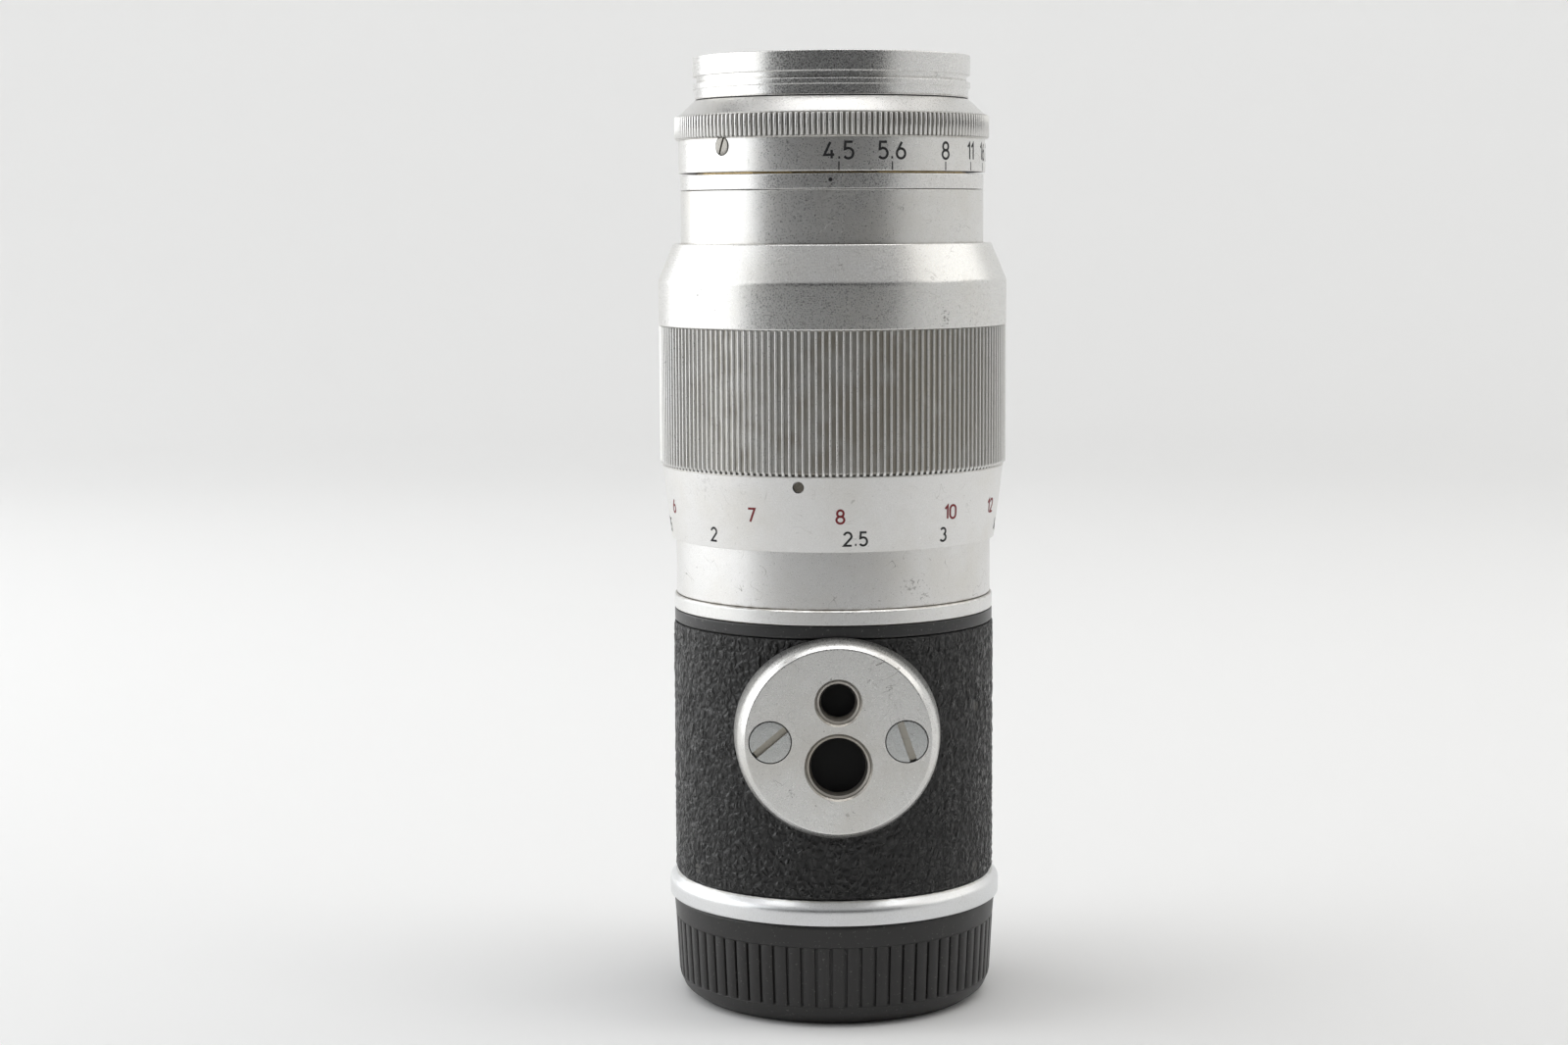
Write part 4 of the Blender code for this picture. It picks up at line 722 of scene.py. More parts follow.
for column in range(LEATHER_COLUMNS + 1):
    azimuth = -pi + 2 * pi * column / LEATHER_COLUMNS
    for height in (leather_foot, leather_top):
        leather_verts.append((backing_radius * sin(azimuth) * MM, -backing_radius * cos(azimuth) * MM,
                              height * MM))
        relief_values.append(0.0)
leather_faces = []
stride = LEATHER_ROWS + 1
for column in range(LEATHER_COLUMNS):
    here, there = column * stride, (column + 1) * stride
    for row in range(LEATHER_ROWS):
        leather_faces.append((here + row, there + row, there + row + 1, here + row + 1))
    inner_here, inner_there = backing_start + 2 * column, backing_start + 2 * column + 2
    leather_faces.append((inner_here, inner_here + 1, inner_there + 1, inner_there))
    leather_faces.append((here, inner_here, inner_there, there))
    leather_faces.append((here + LEATHER_ROWS, there + LEATHER_ROWS, inner_there + 1, inner_here + 1))

leather, leather_tree, leather_shader = paint("grained_leatherette", (0.02, 0.02, 0.02), 0.5)
leather_shader.inputs["Specular IOR Level"].default_value = 0.5
relief = add_node(leather_tree, "ShaderNodeAttribute", attribute_name="relief")
leather_spot = add_node(leather_tree, "ShaderNodeTexCoord").outputs["Object"]
leather_skin = place_group(leather_tree, handled_surface, Color=(0.007, 0.0068, 0.0066, 1), Roughness=0.23,
                           Grain_Scale=5200.0, Dust=0.12)
# Painted shade: the creases of the grain are painted near-black, darker than the crowns, on top of the real
# relief.
crease_tone = add_node(leather_tree, "ShaderNodeMapRange", [(0, relief.outputs["Fac"])], i_1=0.12, i_2=0.6)
fold_noise = add_node(leather_tree, "ShaderNodeTexNoise", [("Vector", leather_spot)], i_Scale=480.0,
                      i_Detail=2.0)
fold_shift = add_node(leather_tree, "ShaderNodeVectorMath",
                      [(0, fold_noise.outputs["Color"]), (2, leather_spot)],
                      operation="MULTIPLY_ADD", i_1=(0.0009, 0.0009, 0.0009))
fold_spot = add_node(leather_tree, "ShaderNodeMapping", [("Vector", fold_shift.outputs[0])],
                     i_Scale=(1.0, 1.0, 0.7))
fold_edge = add_node(leather_tree, "ShaderNodeTexVoronoi", [("Vector", fold_spot.outputs[0])],
                     feature="DISTANCE_TO_EDGE", i_Scale=980.0)
fold_height = add_node(leather_tree, "ShaderNodeMapRange", [(0, fold_edge.outputs["Distance"])],
                       i_1=0.0, i_2=0.24, interpolation_type="SMOOTHSTEP")
crease_shade_factor = add_node(leather_tree, "ShaderNodeMath",
                        [(0, crease_tone.outputs[0]), (1, fold_height.outputs[0])],
                        operation="MULTIPLY")
leather_crease_shaded = mix_color(leather_tree, crease_shade_factor.outputs[0], (0.002, 0.0019, 0.0018, 1),
                         leather_skin.outputs["Color"])
leather_tree.links.new(leather_crease_shaded, leather_shader.inputs["Base Color"])
crown_gloss = add_node(leather_tree, "ShaderNodeMapRange", [(0, relief.outputs["Fac"])],
                       i_1=0.2, i_2=0.9, i_3=0.2, i_4=-0.06)
leather_gloss = add_node(leather_tree, "ShaderNodeMath", [(0, leather_skin.outputs["Roughness"]),
                                                          (1, crown_gloss.outputs[0])], operation="ADD")
leather_tree.links.new(leather_gloss.outputs[0], leather_shader.inputs["Roughness"])
pore = add_node(leather_tree, "ShaderNodeTexVoronoi", [("Vector", leather_spot)], feature="F1",
                i_Scale=3400.0)
pored = add_node(leather_tree, "ShaderNodeMath", [(0, leather_skin.outputs["Height"]), (1, pore.outputs[0])],
                 operation="ADD")
fold_bump = add_node(leather_tree, "ShaderNodeBump", [("Height", fold_height.outputs[0])], i_Strength=0.9,
                     i_Distance=0.00016)
leather_bump = add_node(leather_tree, "ShaderNodeBump",
                        [("Height", pored.outputs[0]), ("Normal", fold_bump.outputs[0])],
                        i_Strength=0.5, i_Distance=0.00004)
leather_tree.links.new(leather_bump.outputs[0], leather_shader.inputs["Normal"])

leather_cover = make_piece("leather_strip", leather_verts, leather_faces, leather)
relief_layer = leather_cover.data.attributes.new("relief", "FLOAT", "POINT")
relief_layer.data.foreach_set("value", relief_values)
leather_cleaner = bmesh.new()
leather_cleaner.from_mesh(leather_cover.data)
bmesh.ops.remove_doubles(leather_cleaner, verts=leather_cleaner.verts, dist=1e-6)
bmesh.ops.recalc_face_normals(leather_cleaner, faces=leather_cleaner.faces)
leather_cleaner.to_mesh(leather_cover.data)
leather_cleaner.free()
settle(leather_cover, "mount", "leatherette", "leather_cover")

# ============================================================ black band
# Narrow ring turned to the tube's size and lacquered black, which closes the top edge of the leatherette.
lacquer, lacquer_tree, lacquer_shader = paint("black_lacquer", (0.018, 0.018, 0.018), 0.3)
lacquer_surface = place_group(lacquer_tree, handled_surface, Color=(0.018, 0.018, 0.018, 1),
                              Roughness=0.26, Grain_Scale=6000.0, Dust=0.3)
wire_finish(lacquer_tree, lacquer_shader, lacquer_surface, 0.25)
band_foot, band_top, band_radius = extent("black_band")
band_bore = 22.25
black_band = lathe("black_band_ring", [
    (band_radius, band_top + 0.2, 0.25), (band_radius, band_foot - 0.15, 0.25),
    (band_bore, band_foot), (band_bore, band_top)], lacquer)
settle(black_band, "mount", "black_lacquer", "black_band")

# ============================================================ sleeve ring
# Chromed ring above the black band. Its top edge is a small polished chamfer that shows as a bright line.
ring_foot, ring_top, ring_radius = extent("sleeve_ring")
ring_chrome = chrome("ring_chrome", 0.34, (0.80, 0.80, 0.79), ageing=0.25,
                     grimes=((ring_top + 0.2, 0.3, 0.7), (ring_foot - 0.1, 0.3, 0.6)))
sleeve_ring = lathe("sleeve_ring_chrome", [
    (ring_radius - 0.28, ring_top + 0.24, 0.06), (ring_radius, ring_top - 0.04, 0.06),
    (ring_radius, ring_foot, 0.12), (band_bore, ring_foot), (band_bore, ring_top)], ring_chrome)
settle(sleeve_ring, "mount", "chrome", "sleeve_ring")

# ============================================================ fixed sleeve
# Thin chromed tube that the scale ring turns on. At the back it carries the distance index and the depth of
# field lines with their aperture numbers, engraved and filled black.
FOCAL_LENGTH = 136.0
DISTANCE_DEGREES_PER_MM = 21.49
INDEX_AZIMUTH = 185.2
FIELD_MM_PER_STOP = 0.033
FIELD_STOPS = ("4", "8", "11", "16", "22", "32")
NUMBERED_STOPS = ("8", "16", "32")
MARK_TOP = 70.9
INDEX_FOOT, TICK_FOOT = 68.4, 69.4
FIELD_NUMERAL_HEIGHT = 68.0
FIELD_NUMERAL = 1.45


def bow(centre_x, centre_y, radius_x, radius_y, start, end, steps=14):
    """Points along an arc of a numeral, in unit heights and degrees."""
    points = []
    for step in range(steps + 1):
        angle = radians(start + (end - start) * step / steps)
        points.append((centre_x + radius_x * cos(angle), centre_y + radius_y * sin(angle)))
    return points


# Strokes and width of each figure, in unit heights. The letter o stands for the infinity sign.
GLYPHS = {
    "0": ([bow(0.3, 0.7, 0.3, 0.3, 0, 180) + bow(0.3, 0.3, 0.3, 0.3, 180, 360) + [(0.6, 0.7)]], 0.6),
    "1": ([[(0.0, 0.76), (0.26, 1.0), (0.26, 0.0)]], 0.3),
    "2": ([bow(0.28, 0.71, 0.28, 0.29, 165, -25) + [(0.0, 0.0), (0.58, 0.0)]], 0.58),
    "3": ([bow(0.27, 0.75, 0.25, 0.25, 150, -75), bow(0.26, 0.27, 0.30, 0.27, 80, -150)], 0.56),
    "4": ([[(0.36, 1.0), (0.0, 0.22), (0.6, 0.22)], [(0.44, 0.52), (0.44, 0.0)]], 0.6),
    "5": ([[(0.52, 1.0), (0.08, 1.0), (0.05, 0.56)] + bow(0.26, 0.31, 0.3, 0.31, 120, -145)], 0.56),
    "6": ([bow(0.3, 0.3, 0.29, 0.3, 0, 360, 22), [(0.035, 0.42), (0.36, 1.0)]], 0.6),
    "7": ([[(0.0, 1.0), (0.56, 1.0), (0.18, 0.0)]], 0.56),
    "8": ([bow(0.29, 0.755, 0.24, 0.245, 0, 360, 20), bow(0.29, 0.265, 0.29, 0.265, 0, 360, 22)], 0.58),
    ".": ([[(0.02, 0.06), (0.14, 0.06)]], 0.16),
    "o": ([bow(0.28, 0.42, 0.26, 0.24, 0, 360, 20), bow(0.80, 0.42, 0.26, 0.24, 0, 360, 20)], 1.08),
}


def ribbon(points, width):
    """Left and right edges of a stroke with mitred bends."""
    closed = (Vector(points[0]) - Vector(points[-1])).length < 1e-4
    path = [Vector(point) for point in (points[:-1] if closed else points)]
    fine = []
    for index, here in enumerate(path):
        fine.append(here)
        if index + 1 < len(path) or closed:
            after = path[(index + 1) % len(path)]
            parts = int((after - here).length / 0.45)
            fine += [here.lerp(after, (part + 1) / (parts + 1)) for part in range(parts)]
    edges = []
    for index, here in enumerate(fine):
        before = fine[index - 1] if index or closed else here
        after = fine[(index + 1) % len(fine)] if index + 1 < len(fine) or closed else here
        inward = (here - before).normalized() if before != here else (after - here).normalized()
        onward = (after - here).normalized() if after != here else inward
        middle = (inward + onward).normalized() if (inward + onward).length > 0.3 else onward
        side = Vector((-middle.y, middle.x)) * width / 2 / max(0.45, middle.dot(onward))
        edges.append((here + side, here - side))
    if closed:
        edges.append(edges[0])
    return edges


def wrap_marks(name, strokes, width, material, radius_at, lift=0.014):
    """Lay strokes of (across, height) millimetres on a round surface as thin closed plates."""
    verts = []
    faces = []
    for stroke in strokes:
        edges = ribbon(stroke, width)
        start = len(verts)
        for left, right_side in edges:
            for point, rise in ((left, lift), (right_side, lift), (right_side, -0.03), (left, -0.03)):
                radius = radius_at(point.y) + rise
                turn = point.x / radius_at(point.y)
                verts.append((radius * sin(turn) * MM, -radius * cos(turn) * MM, point.y * MM))
        for index in range(len(edges) - 1):
            here, there = start + 4 * index, start + 4 * (index + 1)
            for corner in range(4):
                following = (corner + 1) % 4
                faces.append((here + corner, here + following, there + following, there + corner))
        faces.append((start, start + 3, start + 2, start + 1))
        last = len(verts) - 4
        faces.append((last, last + 1, last + 2, last + 3))
    marks = make_piece(name, verts, faces, material, smooth=False)
    tidy = bmesh.new()
    tidy.from_mesh(marks.data)
    bmesh.ops.recalc_face_normals(tidy, faces=tidy.faces)
    tidy.to_mesh(marks.data)
    tidy.free()
    return marks


def numeral_strokes(text, azimuth, height, size, radius):
    """Strokes of a number centred at an azimuth in degrees and a height, in millimetres across and up."""
    gap = 0.22
    total = sum(GLYPHS[character][1] for character in text) + gap * (len(text) - 1)
    across = radians(azimuth) * radius - total * size / 2
    strokes = []
    for character in text:
        lines, advance = GLYPHS[character]
        for line in lines:
            strokes.append([(across + x * size, height + (y - 0.5) * size) for x, y in line])
        across += (advance + gap) * size
    return strokes


def focus_azimuth(distance):
    """Azimuth of a distance mark, in degrees, from the extension that focuses on it."""
    half = distance / 2
    extension = half - sqrt(half * half - FOCAL_LENGTH * distance) - FOCAL_LENGTH
    return INDEX_AZIMUTH - DISTANCE_DEGREES_PER_MM * extension


engraving_black = paint("engraving_black", (0.010, 0.010, 0.011), 0.6)[0]
engraving_red = paint("engraving_red", (0.20, 0.010, 0.014), 0.6)[0]
sleeve_foot, sleeve_top, sleeve_radius = extent("fixed_sleeve")
sleeve_chrome = chrome("sleeve_chrome", 0.33, (0.78, 0.775, 0.765), ageing=0.4, hairlines=0.8, scuffs=(
    (28.0, sleeve_radius, 66.0, 3.2, 1500.0, 0.5), (33.0, sleeve_radius, 64.0, 1.6, 2200.0, 0.6)),
    grimes=((sleeve_foot, 0.35, 0.6),))
sleeve_bore = sleeve_radius - 0.8
fixed_sleeve = lathe("fixed_sleeve_chrome", [
    (sleeve_radius, sleeve_top), (sleeve_radius, sleeve_foot),
    (sleeve_bore, sleeve_foot), (sleeve_bore, sleeve_top)], sleeve_chrome)
settle(fixed_sleeve, "mount", "chrome", "fixed_sleeve")
index_across = radians(INDEX_AZIMUTH) * sleeve_radius
index_strokes = [[(index_across, MARK_TOP), (index_across, INDEX_FOOT)]]
for stop in FIELD_STOPS:
    spread = float(stop) * FIELD_MM_PER_STOP * DISTANCE_DEGREES_PER_MM
    for side in (-1, 1):
        across = radians(INDEX_AZIMUTH + side * spread) * sleeve_radius
        index_strokes.append([(across, MARK_TOP), (across, TICK_FOOT)])
        if stop in NUMBERED_STOPS:
            index_strokes += numeral_strokes(stop, INDEX_AZIMUTH + side * spread, FIELD_NUMERAL_HEIGHT,
                                             FIELD_NUMERAL, sleeve_radius)
index_marks = wrap_marks("depth_of_field_marks", index_strokes, 0.2, engraving_black, lambda z: sleeve_radius)
settle(index_marks, "mount", "black_lacquer")

# ============================================================ tripod boss
# Round chromed boss bedded on the leatherette, with two tripod sockets of different threads. Two broad
# slotted screws hold it to the tube. A socket is its core radius, pitch and rise above the boss's centre.
BOSS_FACE = 28.0
BOSS_HEIGHT = 43.8
BOSS_DEPTH = 9.7
BOSS_SCREWS = ((-9.95, 40), (9.95, 109))
RECESS_RADIUS = 3.17
SOCKETS = (("small_socket", 2.5, 1.27, 5.7), ("large_socket", 4.0, 1.59, -3.8))
SOCKET_FLOOR_DEPTH = 3.2
SADDLE_RADIUS = 24.9


def lay_out(piece, azimuth, height, reach, across=0.0):
    """Turn a piece made along +Z so that it points outwards, its own zero at a reach from the axis."""
    place = Matrix.Translation(Vector((across, -reach, height)) * MM)
    piece.data.transform(Matrix.Rotation(radians(azimuth), 4, "Z") @ place @ Matrix.Rotation(pi / 2, 4, "X"))
    return piece


def carve(piece, *cutters):
    """Cut pieces out of a piece for good."""
    for cutter in cutters:
        step = piece.modifiers.new("cut", "BOOLEAN")
        step.object = cutter
        step.operation = "DIFFERENCE"
        step.solver = "EXACT"
        step.material_mode = "TRANSFER"
    bpy.context.view_layer.update()
    shown = piece.evaluated_get(bpy.context.evaluated_depsgraph_get())
    carved = bpy.data.meshes.new_from_object(shown)
    carved.name = piece.name
    piece.modifiers.clear()
    piece.data = carved
    carved.set_sharp_from_angle(angle=radians(24))
    for cutter in cutters:
        bpy.data.objects.remove(cutter)


def bar(name, size, turn, material, centre=(0, 0, 0)):
    """A box turned about its own Z."""
    mesh = bpy.data.meshes.new(name)
    box = bmesh.new()
    bmesh.ops.create_cube(box, size=1.0)
    box.transform(Matrix.Translation(Vector(centre) * MM) @ Matrix.Rotation(radians(turn), 4, "Z")
                  @ Matrix.Diagonal((size[0] * MM, size[1] * MM, size[2] * MM, 1)))
    box.to_mesh(mesh)
    box.free()
    mesh.materials.append(material)
    piece = bpy.data.objects.new(name, mesh)
    bpy.context.scene.collection.objects.link(piece)
    return piece


slot_dirt = chrome("slot_dirt", 0.5, (0.27, 0.25, 0.21), ageing=0.9, grain=3500.0, strength=0.9)


def slotted_head(name, radius, depth, dome, slot_width, slot_depth, slot_turn, material,
                 facets=48, floor=slot_dirt):
    """A slotted screw head along +Z whose rim lies at zero, with the start of its shank below."""
    screw = dished(name, [
        (0.0, dome), (radius * 0.72, dome * 0.62), (radius, 0.0, 0.1), (radius * 0.9, -depth),
        (radius * 0.5, -depth - 0.4), (radius * 0.5, -depth - 1.8), (0.0, -depth - 1.8)],
        material, 0.12, facets)
    slot_size = (radius * 2.4, slot_width, slot_depth * 2)
    carve(screw, bar(name + "_slot", slot_size, slot_turn, floor, (0, 0, dome)))
    return screw


boss_chrome = chrome("boss_chrome", 0.31, (0.77, 0.765, 0.75), ageing=0.45, hairlines=1.0, scuffs=(
    (9.0, 28.0, 52.5, 1.6, 2600.0, 0.6), (-14.0, 28.6, 36.0, 1.4, 2600.0, 0.55),
    (3.0, 28.0, 33.0, 1.2, 2800.0, 0.5)))
screw_chrome = chrome("screw_chrome", 0.30, (0.55, 0.565, 0.565), ageing=0.3, hairlines=0.8)
worn_slot = chrome("worn_slot", 0.45, (0.50, 0.48, 0.43), ageing=0.7, grain=3500.0, strength=0.6)
# The socket thread walls take a darker grey-brown chrome: painted shade inside the holes.
socket_shadow = chrome("socket_thread", 0.35, (0.42, 0.40, 0.37), ageing=0.8)
boss = lay_out(dished("tripod_boss_chrome", [
    (0.0, 0.0), (13.65, 0.0, 0.12), (14.25, -0.75, 0.3), (14.75, -2.3, 0.5), (15.08, -4.6, 0.8),
    (15.3, -8.7, 0.2), (15.3, -BOSS_DEPTH, 0.1), (0.0, -BOSS_DEPTH)],
    boss_chrome, 0.2, 192), 0, BOSS_HEIGHT, BOSS_FACE)


def threaded_socket(name, radius, pitch, rise, depth=4.9):
    """Cutter for a tripod socket: a countersunk mouth, then V-shaped thread grooves down to the bottom."""
    profile = [(0.0, 0.6), (radius + 1.0, 0.6, 0.01), (radius + 1.0, 0.0, 0.01), (radius + 0.72, -0.3, 0.01),
               (radius + 0.62, -0.55, 0.01), (radius + 0.3, -0.75, 0.01)]
    height = -0.5
    while height - pitch > -depth + 0.3:
        profile += [(radius + 0.46, height - pitch * 0.5, 0.02), (radius, height - pitch, 0.02)]
        height -= pitch
    profile += [(radius, -depth, 0.01), (0.0, -depth)]
    return lay_out(dished(name, profile, socket_shadow, 0.01, 64), 0, BOSS_HEIGHT + rise, BOSS_FACE)


boss_cutters = [threaded_socket(*socket) for socket in SOCKETS]
for across, _ in BOSS_SCREWS:
    recess = dished("screw_recess", [
        (0.0, 0.6), (RECESS_RADIUS, 0.6), (RECESS_RADIUS, -1.2), (1.6, -2.0), (1.6, -9.9), (0.0, -9.9)],
        boss_chrome, 0.02, 48)
    boss_cutters.append(lay_out(recess, 0, BOSS_HEIGHT, BOSS_FACE, across))
boss_cutters.append(dished("boss_saddle", [
    (0.0, 70.0), (SADDLE_RADIUS, 70.0), (SADDLE_RADIUS, 20.0), (0.0, 20.0)], boss_chrome, 0.01, 192))
carve(boss, *boss_cutters)
# The socket bottoms are closed with near-black discs: painted shade deep in the holes.
socket_bottom_shade = paint("socket_floor_black", (0.004, 0.004, 0.004), 0.9)[0]
socket_shade_discs = []
for name, radius, _, rise in SOCKETS:
    floor = dished(name + "_floor", [
        (0.0, -SOCKET_FLOOR_DEPTH), (radius + 0.5, -SOCKET_FLOOR_DEPTH),
        (radius + 0.5, -SOCKET_FLOOR_DEPTH - 0.4), (0.0, -SOCKET_FLOOR_DEPTH - 0.4)], socket_bottom_shade, 0.01, 48)
    socket_shade_discs.append(lay_out(floor, 0, BOSS_HEIGHT + rise, BOSS_FACE))
boss = join("tripod_boss_chrome", boss, *socket_shade_discs)
settle(boss, "mount", "chrome", "tripod_boss")
for name, (across, slot_turn) in zip(("boss_screw_left", "boss_screw_right"), BOSS_SCREWS):
    head = slotted_head(name + "_head", 3.05, 1.2, 0.04, 1.05, 0.62, slot_turn, screw_chrome, floor=worn_slot)
    settle(lay_out(head, 0, BOSS_HEIGHT, BOSS_FACE - 0.06, across), "mount", "chrome", name)

# ============================================================ tube screws
# Small blackened grub screws sunk in the tube, seen at the bottom of round holes through the leatherette.
sunk_steel = chrome("sunk_steel", 0.45, (0.06, 0.058, 0.055), ageing=0.5, metallic=0.7)
for index, (azimuth, rise) in enumerate(SCREW_HOLES):
    sunk = slotted_head(f"body_screw_{index + 1}_head", 0.8, 0.4, 0.0, 0.26, 0.25, 50 * index, sunk_steel, 32)
    lay_out(sunk, azimuth, leather_foot + rise, leather_radius - 0.3)
    settle(sunk, "mount", "screw_steel", f"body_screw_{index + 1}")

# ============================================================ focus ring
# Chromed ring turned from one piece: a tall grip of fine ribs, a plain satin band and a shoulder cone.
# Years of use have left brown dirt in the grooves of the grip, and the roots of the grooves are painted
# darker as painted shade.
GRIP_RIBS = 165
GRIP_SPAN = (82.22, 103.3)
GRIP_ROOT, GRIP_CREST = 26.12, 26.44
BAND_FOOT, SHOULDER_FOOT = 103.45, 110.15
FOCUS_BORE = 24.41
WEB_SPAN = (97.85, 103.35)


def grip_finish(name, base, dirt_azimuth, dirt_amount):
    """Chrome of a knurled grip: the roots of the grooves are painted dark grey as painted shade, and brown
    dirt lies at the foot of the grooves, more of it on one side.
    """
    material = chrome(name, 0.33, base, ageing=0.3, hairlines=0.1)
    tree = material.node_tree
    shader = tree.nodes["Principled BSDF"]
    spot = add_node(tree, "ShaderNodeTexCoord").outputs["Object"]
    level = add_node(tree, "ShaderNodeAttribute", attribute_name="groove")
    cloud = add_node(tree, "ShaderNodeTexNoise", [("Vector", spot)], i_Scale=260.0, i_Detail=4.0)
    facing_side = Vector((sin(radians(dirt_azimuth)), -cos(radians(dirt_azimuth)), 0.0))
    side = add_node(tree, "ShaderNodeVectorMath", [(0, spot)], i_1=facing_side, operation="DOT_PRODUCT")
    near = add_node(tree, "ShaderNodeMapRange", [(0, side.outputs["Value"])], i_1=0.014, i_2=0.027,
                    i_3=-0.10, i_4=0.22)
    summed = add_node(tree, "ShaderNodeMath", [(0, cloud.outputs[0]), (1, near.outputs[0])], operation="ADD")
    shaped = add_node(tree, "ShaderNodeMapRange", [(0, summed.outputs[0])], i_1=0.36, i_2=0.66)
    lodged = add_node(tree, "ShaderNodeMath", [(0, shaped.outputs[0]), (1, level.outputs["Fac"])],
                      operation="MULTIPLY")
    amount = add_node(tree, "ShaderNodeMath", [(0, lodged.outputs[0])], operation="MULTIPLY", i_1=dirt_amount)
    under = shader.inputs["Base Color"].links[0].from_socket
    # Painted shade: the deeper a point lies in a groove, the more its colour goes to dark grey.
    sunk = add_node(tree, "ShaderNodeMath", [(0, level.outputs["Fac"])], operation="MULTIPLY", i_1=0.6)
    groove_shaded = mix_color(tree, sunk.outputs[0], under, (0.27, 0.26, 0.235, 1))
    shade = mix_color(tree, amount.outputs[0], groove_shaded, (0.17, 0.14, 0.085, 1))
    tree.links.new(shade, shader.inputs["Base Color"])
    dull = add_node(tree, "ShaderNodeMath",
                    [(0, amount.outputs[0]), (2, shader.inputs["Roughness"].links[0].from_socket)],
                    operation="MULTIPLY_ADD", i_1=0.3)
    tree.links.new(dull.outputs[0], shader.inputs["Roughness"])
    return material


def mark_grooves(piece, root, crest, foot=0.0):
    """Store how deep every point of a grip lies, from 1 at the root of a groove to 0 on a crest or a tip."""
    layer = piece.data.attributes.new("groove", "FLOAT", "POINT")
    depth = []
    for vertex in piece.data.vertices:
        reach = hypot(vertex.co.x, vertex.co.y) / MM
        depth.append(min(1.0, max(0.0, (crest - reach) / (crest - root))) if vertex.co.z / MM > foot else 0.0)
    layer.data.foreach_set("value", depth)


skirt_low, skirt_high, skirt_wide = extent("distance_scale_ring")
focus_low, focus_high, focus_wide = extent("focus_ring")
grip_chrome = grip_finish("grip_chrome", (0.76, 0.755, 0.74), 38.0, 0.5)
band_chrome = chrome("plain_band_chrome", 0.30, (0.77, 0.765, 0.75), ageing=0.3, hairlines=0.5, scuffs=(
    (37.0, focus_wide, 105.2, 2.0, 1900.0, 0.9), (35.5, focus_wide, 104.2, 1.0, 2600.0, 0.9),
    (43.0, focus_wide, 106.5, 0.8, 3000.0, 0.6), (-30.0, focus_wide, 108.0, 0.9, 2600.0, 0.4)))
focus_body = lathe("focus_body", [
    (24.2, focus_high, 0.12), (focus_wide, SHOULDER_FOOT, 0.3), (focus_wide, BAND_FOOT, 0.12),
    (GRIP_ROOT, GRIP_SPAN[1], 0.05), (GRIP_ROOT, 82.75, 0.05), (25.7, focus_low + 4.2, 0.1),
    (25.21, focus_low + 4.2), (25.21, focus_low), (FOCUS_BORE, focus_low), (FOCUS_BORE, WEB_SPAN[0]),
    (19.4, WEB_SPAN[0]), (19.4, WEB_SPAN[1]), (23.35, WEB_SPAN[1]), (23.35, focus_high)], band_chrome)
mark_grooves(focus_body, GRIP_ROOT, GRIP_ROOT + 0.15)
focus_body.data.materials.append(grip_chrome)
for face in focus_body.data.polygons:
    reach = hypot(face.center.x, face.center.y) / MM
    if 25.4 < reach < GRIP_ROOT + 0.2 and 82.0 < face.center.z / MM < 103.35:
        face.material_index = 1
grip_stations = [(GRIP_SPAN[0], 26.02), (GRIP_SPAN[0] + 0.1, 26.1), (GRIP_SPAN[0] + 0.42, GRIP_CREST),
                 (GRIP_SPAN[0] + 0.7, GRIP_CREST), (102.6, GRIP_CREST), (GRIP_SPAN[1], GRIP_CREST)]
grip_rib = rib_mesh("grip_rib", grip_stations, GRIP_ROOT - 0.05, 0.50, 0.34, 0.10)
grip_ribs = repeat_round("grip_ribs", grip_rib, GRIP_RIBS, grip_chrome)
mark_grooves(grip_ribs, GRIP_ROOT, 26.30, GRIP_SPAN[0] + 0.5)
focus_ring = join("focus_ring_chrome", focus_body, grip_ribs)
settle(focus_ring, "focus", "chrome", "focus_ring")

# ============================================================ distance scale ring
# Conical chromed skirt below the grip, held on by three small grub screws. Feet are engraved in red above,
# metres in black below, and each number is centred on its own mark.
FEET = ("5", "5.5", "6", "7", "8", "10", "12", "15", "20", "30", "60")
METRES = ("1.5", "1.75", "2", "2.5", "3", "4", "5", "7", "10", "20")
FEET_HEIGHT = 76.4
METRES_HEIGHT = 73.1
SCALE_NUMERAL = 1.95
INFINITY_HEIGHT, INFINITY_SIZE = 74.7, 2.4
MM_PER_FOOT = 304.8
MM_PER_METRE = 1000
GRUB_AZIMUTH = -12.6
SKIRT_FOOT_RADIUS = 24.68
SEAT_RADIUS, SEAT_HEIGHT = 25.51, 77.7


def skirt_radius(height):
    """Outer radius of the conical skirt at a height."""
    share = (height - skirt_low) / (skirt_high - skirt_low)
    return SKIRT_FOOT_RADIUS + (skirt_wide - SKIRT_FOOT_RADIUS) * share


skirt_chrome = chrome("skirt_chrome", 0.34, (0.80, 0.795, 0.785), ageing=0.45, hairlines=0.4, scuffs=(
    (-48.0, 26.0, 80.5, 3.5, 1300.0, 0.18), (52.0, 25.6, 74.0, 1.0, 3000.0, 0.5)),
    grimes=((skirt_high + 0.1, 0.3, 0.5),))
skirt = lathe("scale_skirt", [
    (skirt_wide, skirt_high + 0.2, 0.12), (SKIRT_FOOT_RADIUS, skirt_low, 0.12), (FOCUS_BORE, skirt_low),
    (FOCUS_BORE, SEAT_HEIGHT), (SEAT_RADIUS, SEAT_HEIGHT), (SEAT_RADIUS, skirt_high)], skirt_chrome)
dark_grub = chrome("dark_grub_steel", 0.38, (0.20, 0.18, 0.15), ageing=0.9, grain=3000.0, strength=1.0)
grub_height = skirt_high - 1.4
grub_reach = skirt_radius(grub_height)
grub_holes = []
